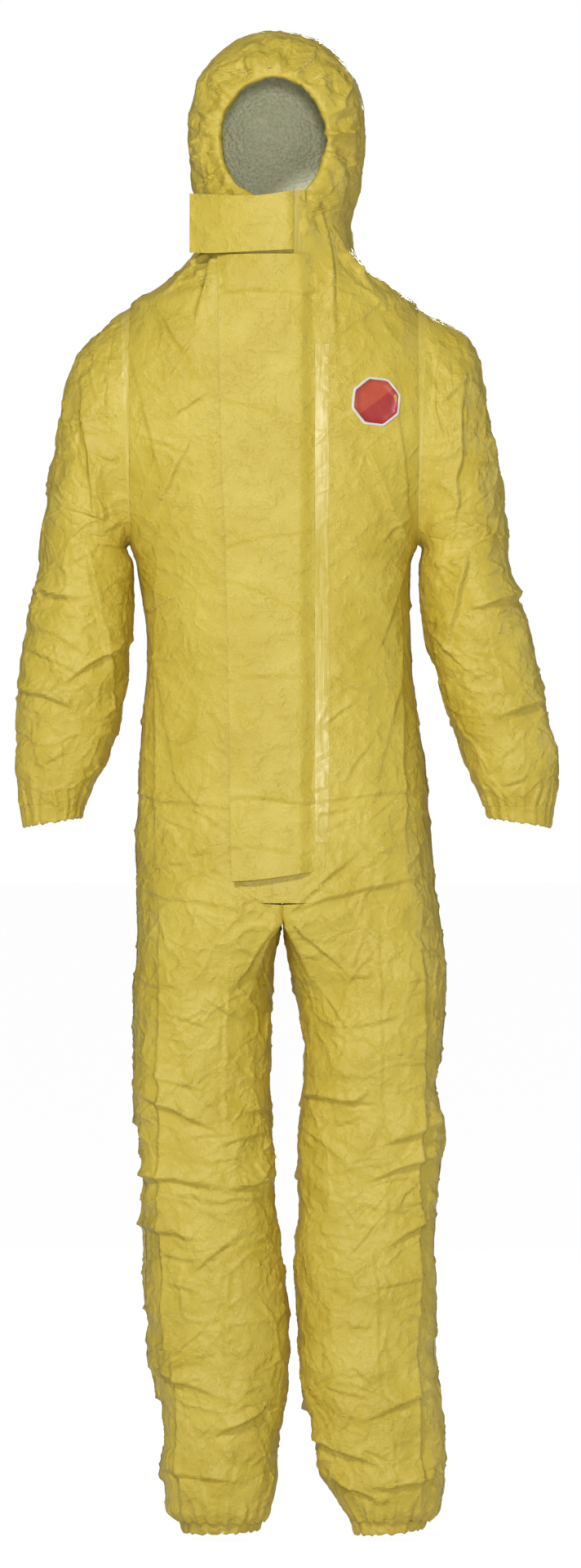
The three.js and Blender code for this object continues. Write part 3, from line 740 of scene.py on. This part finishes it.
def ribbed_material(name, dark, light, scale, roughness):
    """Woven or knitted ribs, level with the ground at rest."""
    material, tree, shader = new_material(name, light, roughness)
    ribs = tree.nodes.new("ShaderNodeTexWave")
    ribs.bands_direction = "Z"
    set_inputs(ribs, {"Scale": scale, "Distortion": 1.5})
    tree.links.new(rest_place(tree), ribs.inputs["Vector"])
    vary_colour(tree, shader, ribs.outputs["Fac"], dark, light)
    add_bump(tree, shader, ribs.outputs["Fac"], 0.0004, 0.8)
    shader.inputs["Sheen Weight"].default_value = 0.2
    return material


def mottled_material(name, colours, roughness, tone, grain, bump_size):
    """Plastic or paper: colours are its plain, dark and light ones, tone and grain each a noise's
    scale and detail, and bump_size the bump's distance and strength."""
    plain, dark, light = colours
    material, tree, shader = new_material(name, plain, roughness)
    vary_colour(tree, shader, noise_node(tree, *tone).outputs["Fac"], dark, light)
    add_bump(tree, shader, noise_node(tree, *grain).outputs["Fac"], *bump_size)
    return material


def label_material(name, colour):
    dark = tuple(channel * 0.9 for channel in colour)
    return mottled_material(name, (colour, dark, colour), 0.38, (70, 4), (500, 3), (0.0003, 0.5))


SUIT = [suit_outside(), suit_inside()]
TAPE = seam_tape_material()
ELASTIC = ribbed_material("knit_elastic", (0.40, 0.36, 0.22), (0.62, 0.57, 0.40), 260, 0.85)
ZIP_TAPE = ribbed_material("zip_tape_weave", (0.52, 0.42, 0.09), (0.64, 0.53, 0.13), 330, 0.8)
ZIP_PLASTIC = mottled_material("zip_plastic_yellow",
                               ((0.70, 0.56, 0.10), (0.66, 0.52, 0.08), (0.74, 0.60, 0.12)),
                               0.33, (90, 3), (900, 2), (0.0002, 0.4))
LINER = mottled_material("release_liner",
                         ((0.82, 0.80, 0.72), (0.76, 0.74, 0.66), (0.86, 0.85, 0.79)),
                         0.28, (45, 3), (120, 3), (0.0008, 0.5))


# ---- Pieces ----
TAPE_THICKNESS = 0.35


def fabric(name, surface, size, body, replaced, extra=relief, closed=False, materials=SUIT,
           thickness=FABRIC):
    """A sheet of suit fabric held by its seams. It is cut from a rectangle of that size, (width,
    height), with a grid point about every GRID millimetres."""
    columns, rows = max(4, round(size[0] / GRID)), max(3, round(size[1] / GRID))
    grid, normals = sampled(surface, extra, columns, rows)
    if closed:
        grid[:, -1], normals[:, -1] = grid[:, 0], normals[:, 0]
    piece = cloth_piece(name, grid, normals, materials, closed, thickness)
    attach(piece, body, replaced)


def attach(piece, body, replaced):
    """body is one body's name, or (first, second, start, end) for a piece between two bodies, which is then
    baked in place and attached to neither.
    """
    if isinstance(body, str):
        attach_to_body(piece, body)
    else:
        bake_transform(piece)
    if replaced:
        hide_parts(*replaced)


def tape(name, surface, size, body, replaced, extra=relief, closed=False, proud=0.55, slot="seam_tape"):
    """A strip stuck flat on the fabric: it follows the same relief, a little proud of it."""
    material = {"seam_tape": TAPE, "elastic": ELASTIC, "adhesive": LINER}[slot]
    fabric(name, surface, size, body, replaced, lambda points: extra(points) + proud, closed,
           [material, material], TAPE_THICKNESS)


def part_of(surface, u0, u1, v0=0.0, v1=1.0):
    return lambda u, v: surface(u0 + (u1 - u0) * u, v0 + (v1 - v0) * v)


def body_strip(angle, half_angle, bottom_z, top_z):
    def surface(u, v):
        at = angle + half_angle * (2 * u - 1)
        return body_point(at, bottom_z + (top_z - bottom_z) * v + 0 * at)

    return surface


def torso():
    for name, side in SIDES.items():
        fabric(f"{name}_front", front_surface(side), (207, 750), "torso", [f"{name}_front_panel"])
        fabric(f"{name}_back", back_surface(side), (225, 750), "torso", [f"{name}_back_panel"])
        tape(f"{name}_side_tape", body_strip(side * math.pi / 2, 0.035, SEAT_Z, ARMPIT_Z - 12),
             (10, 416), "torso", [f"{name}_side_seam_tape"])
        tape(f"{name}_shoulder_tape", body_strip(side * math.pi / 2, 0.035, 3, NECK_Z), (12, 60),
             "torso", [f"{name}_shoulder_seam_tape"])
    tape("centre_back_tape", body_strip(math.pi, 0.022, SEAT_Z, NECK_Z), (9, 760), "torso",
         ["centre_back_seam_tape"])
    tape("waist_band", body_strip(math.pi, 1.15, -440, -420), (250, 20), "torso", ["waist_elastic"],
         proud=-3.5, slot="elastic")


def crotch_tape():
    def surface(u, v):
        y = 96 - 192 * u
        return np.stack([-4 + 8 * v, y, SEAT_Z - 2 - 10 * (1 - (y / CROTCH_HALF_DEPTH) ** 2)], -1)

    tape("crotch_tape", surface, (192, 8), "torso", ["crotch_seam_tape"],
         lambda points: 0 * points[..., 0])


HOOD_BEND = ("torso", "hood", (0, 0, (NECK_Z - 4) * MM), (0, 0, 0.085))


def hood_relief(points):
    """The hood's crumples. They sink behind the zip's top, and fade at the crown, where halves meet."""
    x, y, z = points[..., 0], points[..., 1], points[..., 2]
    behind_zip = bump(ZIP_X, 22, x) * ease(66, 50, z) * ease(0, -60, y)
    beside_crown = ease(0, 30, np.hypot(x - BODY_MIDDLE[0][1], y))
    return (relief(points) + face_gather(points) - 2.6 * behind_zip) * beside_crown


def hood():
    for name, side in SIDES.items():
        replaced = [f"hood_{name}_panel"] + (["hood_crown_panel", "collar"] if side > 0 else [])
        fabric(f"{name}_hood", hood_surface(side), (286, 325), HOOD_BEND, replaced, hood_relief)
    # Each is (place across the hem, how far outside the opening's edge, how far behind the hood).
    hem = [(0, 22, 1.6), (0.3, 13, -0.2), (0.6, 4, -0.9), (0.74, 0.8, 0.2), (0.84, 0, 3), (1, 2.5, 10)]
    fabric("face_opening_hem", face_ring(hem), (470, 47), "hood", ["face_hem"], hood_relief, closed=True)
    band = [(0, 7, 4.4), (1, 1.5, 4.4)]
    tape("face_elastic_band", face_ring(band), (430, 6), "hood", ["face_elastic"], hood_relief, closed=True,
         proud=0, slot="elastic")


# ---- Flaps ----
CHIN = {"free_x": -110, "sewn_x": 27, "hinge_x": 6}
CHIN_TOP = [(-110, 130), (-40, 125), (27, 133)]
CHIN_BOTTOM = [(-110, 60), (-75, 58), (27, 62)]
CHIN_BEND = ("hood", "chin_flap", (0.0265, 0, 0), (0.006, 0, 0))
STORM = {"sewn_x": 38, "hinge_x": 20, "top_z": 56, "bottom_z": -686, "bottom_rise": 12, "lift": 7.4}
STORM_FREE = [(56, -77), (-180, -72), (-300, -67), (-686, -60)]
STORM_BEND = ("torso", "storm_flap", (0.0385, 0, 0), (0.020, 0, 0))
STITCH_INSET = 5.5
# Creases across the flap, each (height at its free side, height at its sewn side, depth).
STORM_CREASES = [(9, 12, 1.6), (-118, -150, 0.9), (-293, -268, 1.0), (-330, -372, 1.3), (-452, -440, 0.7),
                 (-590, -592, 2.0), (-648, -652, 0.8)]


def chin_surface(behind=0.0):
    def surface(u, v):
        x = CHIN["free_x"] + (CHIN["sewn_x"] - CHIN["free_x"]) * u
        bottom, top = along(CHIN_BOTTOM, x), along(CHIN_TOP, x)
        z = bottom + (top - bottom) * v
        flat = -131 + 42 * ((21 - x) / 131) ** 2 + 5 * ease(-72, -110, x) + 7 * ease(-50, 10, x)
        sewn = front_point(np.clip(x, -40, None), z)[..., 1] - 0.9
        y = flat + (sewn - flat) * ease(CHIN["hinge_x"] - 2, CHIN["sewn_x"] - 3, x)
        return np.stack([x, y + behind, z], -1)

    return surface


def storm_surface(behind=0.0):
    def surface(u, v):
        bottom = STORM["bottom_z"] + STORM["bottom_rise"] * np.clip(u, 0, 1) ** 1.6
        z = bottom + (STORM["top_z"] - bottom) * v
        free = along(STORM_FREE, z)
        x = free + (STORM["sewn_x"] - free) * u
        lift = 0.5 + (STORM["lift"] - 0.5) * ease(STORM["sewn_x"], STORM["hinge_x"], x)
        corner = ease(-630, -690, z) * ease(15, -60, x)
        hang = ease(-655, -690, z)
        y = front_point(x, np.maximum(z, -690))[..., 1] - lift - 3.5 * corner - 1.5 * hang
        return np.stack([x, y + behind, z], -1)

    return surface


def flap_relief(points):
    x, z = points[..., 0], points[..., 2]
    across = (x + 70) / 108
    total = 0.6 * soft_noise(points, (55, 55, 80), 91) + 0.45 * facet_noise(points, (30, 30, 40), 93)
    total = total + 0.16 * facet_noise(points, (8, 8, 8), 95)
    for free_z, sewn_z, depth in STORM_CREASES:
        off = z - free_z - (sewn_z - free_z) * across - 3 * np.sin(across * 5)
        total += depth * (bump(3, 5, off) - bump(-2, 3, off))
    return total


def stitched_edge(points, free_x):
    """The folded free edge: a groove of stitching a little inside it."""
    off = points[..., 0] - free_x
    return -0.5 * bump(STITCH_INSET, 0.9, off) + 0.25 * ease(STITCH_INSET, STITCH_INSET - 2, off)


def flaps():
    yellow = [SUIT[0], SUIT[0]]

    def storm(points):
        return flap_relief(points) + stitched_edge(points, along(STORM_FREE, points[..., 2]))

    fabric("front_storm_flap", storm_surface(), (111, 742), STORM_BEND, ["storm_flap"], storm,
           materials=yellow)
    tape("storm_adhesive", part_of(storm_surface(1.5), 0.12, 0.30, 0.06, 0.985), (18, 680), "storm_flap",
         ["storm_flap_adhesive"], storm, proud=0, slot="adhesive")

    def chin(points):
        return 0.5 * flap_relief(points - np.array([0, 0, 260])) + stitched_edge(points, CHIN["free_x"])

    fabric("neck_chin_flap", chin_surface(), (143, 71), CHIN_BEND, ["chin_flap"], chin,
           materials=yellow)
    tape("chin_adhesive", part_of(chin_surface(1.5), 0.06, 0.33, 0.17, 0.83), (42, 46), "chin_flap",
         ["chin_flap_adhesive"], chin, proud=0, slot="adhesive")
    tape("chin_tape", part_of(chin_surface(), 0.9, 0.995, -0.3, 1.0), (13, 92), CHIN_BEND,
         ["chin_flap_seam_tape"], chin)

    def seam(u, v):
        x = STORM["sewn_x"] + 1 + 16 * u
        return front_point(x, -640 + 590 * v + 0 * x)

    tape("flap_tape", seam, (16, 590), "torso", ["storm_flap_seam_tape"], proud=0.35)


def chest_label():
    """A plain eight-sided patch: white border, and a field in two tones parted by a slanting line."""
    middle_x, middle_z, radius, border = 111, -118, 31, 0.9
    turn = math.radians(22.5 - 6)  # the patch is sewn on 6 degrees askew
    # Rings of points from the middle outwards, each with its share of the radius and its height.
    rings = [0.0, 0.3, 0.6, border, border, 0.985, 1.0]
    heights = [0.0, 0.0, 0.0, 0.0, 0.35, 0.35, -0.9]
    corner = math.pi / 4
    points, around = [], 48
    for share in rings:
        for i in range(around):
            angle = 2 * math.pi * i / around
            inside = (angle - turn) % corner - corner / 2
            reach = radius * share * math.cos(corner / 2) / math.cos(inside)
            points.append((middle_x + reach * math.cos(angle), middle_z + reach * math.sin(angle)))
    x, z = np.array(points).T
    grid = front_point(x, z)
    outward = np.array([0.266, -0.963, 0.031])  # about square to the chest at the label
    proud = relief(grid) + 1.0 + np.repeat(heights, around)
    grid = grid + outward * proud[:, None]
    faces, which = [], []
    for k in range(len(rings) - 1):
        for i in range(around):
            j = (i + 1) % around
            inner, outer = k * around, (k + 1) * around
            faces.append([inner + j, outer + j, outer + i, inner + i])
            slanting = math.sin(2 * math.pi * (i + 0.5) / around - math.radians(35)) > 0
            which.append(2 if k >= 3 else int(slanting))
    materials = [label_material("label_red", (0.48, 0.052, 0.046)),
                 label_material("label_orange", (0.60, 0.095, 0.050)),
                 label_material("label_white", (0.82, 0.80, 0.76))]
    piece = make_mesh("chest_patch", grid, faces, materials, which)
    attach(piece, "torso", ["chest_label"])


# ---- Zip ----
def boxes_mesh(name, centres, sizes, taper):
    """Many small tapered blocks in one mesh, each with its front narrower than its back."""
    unit = np.array([[x, y, z] for y in (-1, 1) for x, z in ((-1, -1), (1, -1), (1, 1), (-1, 1))], float)
    unit[:4, [0, 2]] *= taper
    points = (unit[None] * np.array(sizes) / 2 + np.array(centres)[:, None]).reshape(-1, 3)
    one = [[0, 1, 2, 3], [7, 6, 5, 4], [4, 5, 1, 0], [5, 6, 2, 1], [6, 7, 3, 2], [7, 4, 0, 3]]
    faces = [[corner + 8 * k for corner in face] for k in range(len(centres)) for face in one]
    piece = make_mesh(name, points, faces, [ZIP_PLASTIC])
    piece.data.polygons.foreach_set("use_smooth", [False] * len(faces))
    return piece


def plate(name, outline, front_y, back_y, bevel):
    """A flat plate with an outline in X and Z and rounded edges."""
    count = len(outline)
    points = [(x, y, z) for y in (front_y, back_y) for x, z in outline]
    faces = [list(range(count)), list(range(2 * count - 1, count - 1, -1))]
    faces += [[i, i + count, (i + 1) % count + count, (i + 1) % count] for i in range(count)]
    piece = make_mesh(name, points, faces, [ZIP_PLASTIC])
    rounded = piece.modifiers.new("rounded", "BEVEL")
    rounded.width = bevel * MM
    rounded.segments = 2
    return piece


def zip_sides(front, bottom, top):
    pitch = 3.0
    for name, side in SIDES.items():
        def surface(u, v, side=side):
            x = ZIP_X + side * 9.6 + 12 * (u - 0.5)
            return np.stack([x, front - 0.2 + 0 * x, bottom + (top - bottom) * v + 0 * x], -1)

        fabric(f"{name}_woven_tape", surface, (12, 690), "torso", [f"{name}_zip_tape"],
               lambda points: 0.12 * np.sin(points[..., 2] * 2.1), materials=[ZIP_TAPE, ZIP_TAPE])
        offset = 0.0 if side > 0 else pitch / 2
        heights = np.arange(bottom + 2 + offset, top - 1, pitch)
        centres = [(ZIP_X + side * 1.35, front + 0.2, z) for z in heights]
        teeth = boxes_mesh(f"{name}_teeth", centres, (2.9, 2.3, 2.1), 0.72)
        attach(teeth, "torso", [f"{name}_zip_teeth"])


def zip_plates(front, bottom, top):
    def block(z):
        return [(-4, z - 2.4), (4, z - 2.4), (4, z + 2.4), (-4, z + 2.4)]

    slider = [(-5.5, 46), (-5.5, 41), (-3.6, 31), (-3, 30), (3, 30), (3.6, 31), (5.5, 41), (5.5, 46)]
    bridge = [(-1.4, 44), (-1.4, 33), (1.4, 33), (1.4, 44)]
    tab = [(-1.6, 42), (-2.4, 40), (-3, 30), (-3, 13), (-2.2, 10.6), (0, 10), (2.2, 10.6), (3, 13),
           (3, 30), (2.4, 40), (1.6, 42)]
    block_y = (front - 1, front + 1.4)
    # Each is (name, outline round the zip's middle, (front, back) depths, bevel, body, replaced).
    plates = [
        ("zip_top_block", block(top + 3), block_y, 0.6, "torso", ["zip_top_stop"]),
        ("zip_bottom_block", block(bottom - 3), block_y, 0.6, "torso", ["zip_bottom_stop"]),
        ("slider_body", slider, (-122.2, -119.6), 0.7, "zip_slider", ["zip_slider"]),
        ("slider_bridge", bridge, (-122.7, -122.0), 0.3, "zip_slider", []),
        ("pull_tab", tab, (-124, -122.9), 0.4, "zip_pull_tab", ["zip_pull_tab"]),
    ]
    for name, outline, depths, bevel, body, replaced in plates:
        placed = [(ZIP_X + x, z) for x, z in outline]
        attach(plate(name, placed, *depths, bevel), body, replaced)


def zip_guard(bottom):
    """The flap behind the zip."""
    width, height, y = 54, 632, -112.3

    def surface(u, v):
        x = ZIP_X + width * (u - 0.5)
        return np.stack([x, y + 0 * x, bottom + height * v + 0 * x], -1)

    fabric("zip_guard", surface, (width, height), "torso", ["inner_zip_flap"],
           lambda points: 0.7 * soft_noise(points, (30, 30, 60), 97))


def zip_parts():
    front, bottom, top = -118, -640, 50
    zip_sides(front, bottom, top)
    zip_plates(front, bottom, top)
    zip_guard(bottom)


# ---- Sleeves and legs ----
CUFF_PLEATS = 19
ANKLE_PLEATS = 21


def hem_surface(middle, half_width, half_depth, top_z, bottom_z, tilt):
    """A narrow gathered hem that draws in and ends in a rolled edge, lower on one side."""
    profile_z = [(0, top_z), (0.62, bottom_z + 2), (0.8, bottom_z), (0.9, bottom_z + 1), (1, bottom_z + 7)]
    profile_out = [(0, 0), (0.3, -2.2), (0.62, -4), (0.8, -5.5), (0.9, -7), (1, -7.5)]

    def surface(u, v):
        at = 1 - v
        out = along(profile_out, at)
        point = ring_point(middle, half_width + out, half_depth + out, 2.0, 2 * math.pi * u,
                           along(profile_z, at))
        point[..., 2] += tilt * at * (point[..., 0] - middle) / half_width
        return point

    return surface


def hem_and_elastic(prefix, kind, body, surface_facts, count):
    middle, half_width, half_depth, top_z, bottom_z, tilt = surface_facts
    hem = hem_surface(middle, half_width, half_depth, top_z, bottom_z, tilt)

    def extra(points):
        return 0.9 * pleats(points, middle, count) + 0.8 * facet_noise(points, (9, 9, 7), 83)

    fabric(f"{prefix}_{kind}_gathers", hem, (275, 34), body, [f"{prefix}_{kind}_hem"], extra, closed=True)
    band = ring_band(middle, half_width - 9, half_depth - 9, bottom_z + 5, top_z - 4)
    tape(f"{prefix}_{kind}_band", band, (230, 12), body, [f"{prefix}_{kind}_elastic"], extra, closed=True,
         proud=0, slot="elastic")


def ring_band(middle, half_width, half_depth, bottom_z, top_z):
    return lambda u, v: ring_point(middle, half_width, half_depth, 2.0, 2 * math.pi * u,
                                   bottom_z + (top_z - bottom_z) * v + 0 * u)


def sleeves():
    for name, side in SIDES.items():
        edge = ARMHOLE_X[name] * MM
        shoulder = ("torso", f"{name}_upper_arm", (edge, 0, 0), (edge + side * 0.0048, 0, 0))
        cap = cap_surface(name, side)

        def cap_relief(points, name=name, side=side):
            return relief(points) * ease(0, 20, side * (points[..., 0] - ARMHOLE_X[name]))

        fabric(f"{name}_sleeve_cap", cap, (480, 330), shoulder, [f"{name}_upper_sleeve"], cap_relief,
               closed=True)
        tape(f"{name}_armhole_tape", part_of(cap, 0, 1, 0.90, 0.985), (600, 8), shoulder,
             [f"{name}_armhole_seam_tape"], cap_relief, closed=True, proud=0.15)
        middle, half = limb_width(SLEEVE_INNER[name], SLEEVE_OUTER[name], CUFF_Z)
        extra = gathered_end(middle, CUFF_Z, 42, 0.6, 1.3, CUFF_PLEATS)
        elbow = next(j for j in frame["joints"] if j["name"] == f"{name}_elbow_bend")
        pivot = Vector(elbow["pos_m"])
        lean = math.radians(10)  # how far the arm hangs from upright
        down = Vector((side * math.sin(lean), 0, -math.cos(lean)))
        bend = (f"{name}_upper_arm", f"{name}_forearm", tuple(pivot - down * 0.055),
                tuple(pivot + down * 0.06))
        fabric(f"{name}_sleeve", sleeve_surface(name), (400, 310), bend,
               [f"{name}_elbow_sleeve", f"{name}_lower_sleeve"], extra, closed=True)
        facts = (middle, half, 44, CUFF_Z + 1, CUFF_END_Z + 2, -side * 8)
        hem_and_elastic(name, "cuff", f"{name}_forearm", facts, CUFF_PLEATS)


def legs():
    for name, side in SIDES.items():
        hip = ("torso", f"{name}_thigh", (0, 0, SEAT_Z * MM), (0, 0, -0.800))
        seat = leg_surface(name, side, THIGH_SPLIT_Z, SEAT_Z)
        fabric(f"{name}_seat_leg", seat, (600, 170), hip, [f"{name}_hip_gusset"], closed=True)
        middle, half = limb_width(LEG_INNER[name], LEG_OUTER[name], ANKLE_Z)
        extra = gathered_end(middle, ANKLE_Z, 45, 0.5, 1.6, ANKLE_PLEATS)
        knee = (f"{name}_thigh", f"{name}_shin", (0, 0, -0.985), (0, 0, -1.115))
        leg = leg_surface(name, side, ANKLE_Z, THIGH_SPLIT_Z)
        replaced = [f"{name}_{part}" for part in ("thigh", "knee", "shin")]
        fabric(f"{name}_leg", leg, (520, 575), knee, replaced, extra, closed=True)
        outside = 0.25 if side > 0 else 0.75
        strip = (outside - 0.009, outside + 0.009)
        tape(f"{name}_leg_tape", part_of(leg, *strip), (9, 575), knee, [], extra)
        tape(f"{name}_seat_tape", part_of(seat, *strip), (9, 170), hip, [])
        facts = (middle, half, 52, ANKLE_Z + 1, ANKLE_END_Z + 4, 5 if side > 0 else 2)
        hem_and_elastic(name, "ankle", f"{name}_shin", facts, ANKLE_PLEATS)


# ---- Camera and studio ----
FLOOR_Z = -1.476  # in metres, just under the ankle hems


def camera():
    """A long lens straight in front: the frame is 712 by 1920, and 1.867 m tall at the suit. The
    fit is vertical, so the sensor's width doesn't change this view."""
    data = bpy.data.cameras.new("camera")
    view = bpy.data.objects.new("camera", data)
    bpy.context.scene.collection.objects.link(view)
    distance, frame_height = 9.0, 1.867
    suit_front = 0.06  # the depth, in front of the frame's origin, at which the frame is that tall
    view.location = (0.0098, -distance, -0.571)
    view.rotation_euler = (math.radians(90), 0, 0)
    data.sensor_fit = "VERTICAL"
    data.sensor_height = 36
    data.sensor_width = 52
    data.lens = data.sensor_height * (distance - suit_front) / frame_height
    data.clip_end = 100
    bpy.context.scene.camera = view


def area_light(name, place, aim, size, power):
    data = bpy.data.lights.new(name, "AREA")
    data.shape = "DISK"
    data.size = size
    data.energy = power
    light = bpy.data.objects.new(name, data)
    light.location = place
    light.rotation_euler = (Vector(aim) - Vector(place)).to_track_quat("-Z", "Y").to_euler()
    bpy.context.scene.collection.objects.link(light)


def mix_for_camera(tree, share, lit, seen, output):
    """The camera sees that share of the second shader, and the light only meets the first."""
    path = tree.nodes.new("ShaderNodeLightPath")
    mix = tree.nodes.new("ShaderNodeMixShader")
    factor = math_node(tree, "MULTIPLY", path.outputs["Is Camera Ray"], share)
    tree.links.new(factor, mix.inputs["Fac"])
    tree.links.new(lit, mix.inputs[1])
    tree.links.new(seen, mix.inputs[2])
    tree.links.new(mix.outputs["Shader"], tree.nodes[output].inputs["Surface"])


def floor_material():
    """Pale paper, which the camera sees nearly white and which throws little light back."""
    white, tree, shader = new_material("floor_white", (0.8, 0.8, 0.8), 0.9)
    glow = tree.nodes.new("ShaderNodeEmission")
    glow.inputs["Strength"].default_value = 1.15
    mix_for_camera(tree, 0.84, shader.outputs["BSDF"], glow.outputs["Emission"], "Material Output")
    return white


def studio_floor():
    half = 60.0
    mesh = bpy.data.meshes.new("floor")
    corners = [(x, y, FLOOR_Z) for x, y in ((-half, -half), (half, -half), (half, half), (-half, half))]
    mesh.from_pydata(corners, [], [(0, 1, 2, 3)])
    floor = bpy.data.objects.new("floor", mesh)
    bpy.context.scene.collection.objects.link(floor)
    mesh.materials.append(floor_material())


def studio_world():
    """White all round: full strength to the camera, and faint as a light."""
    world = bpy.data.worlds.new("studio")
    bpy.context.scene.world = world
    world.use_nodes = True
    tree = world.node_tree
    faint, full = tree.nodes["Background"], tree.nodes.new("ShaderNodeBackground")
    for background, strength in ((faint, 0.15), (full, 1.0)):
        set_inputs(background, {"Color": (1, 1, 1, 1), "Strength": strength})
    mix_for_camera(tree, 1.0, faint.outputs["Background"], full.outputs["Background"], "World Output")


def studio_lights():
    # Each is (name, place, the point it faces, width, power).
    lights = [
        ("key", (-1.6, -5.0, 2.9), (0, 0, -0.3), 0.8, 172),
        ("front", (0.1, -6.6, 0.1), (0, 0, -0.2), 0.5, 112),
        ("low", (0.7, -5.4, -1.2), (0, 0, -0.9), 1.0, 14),
        ("back", (0.4, 4.6, 1.2), (0, 0, -0.5), 1.2, 110),
        ("side", (4.8, 0.6, 0.6), (0, 0, -0.5), 1.2, 30),
    ]
    for light in lights:
        area_light(*light)


camera()
torso()
crotch_tape()
hood()
flaps()
chest_label()
zip_parts()
sleeves()
legs()
studio_floor()
studio_world()
studio_lights()
bpy.context.scene.view_settings.view_transform = "Standard"
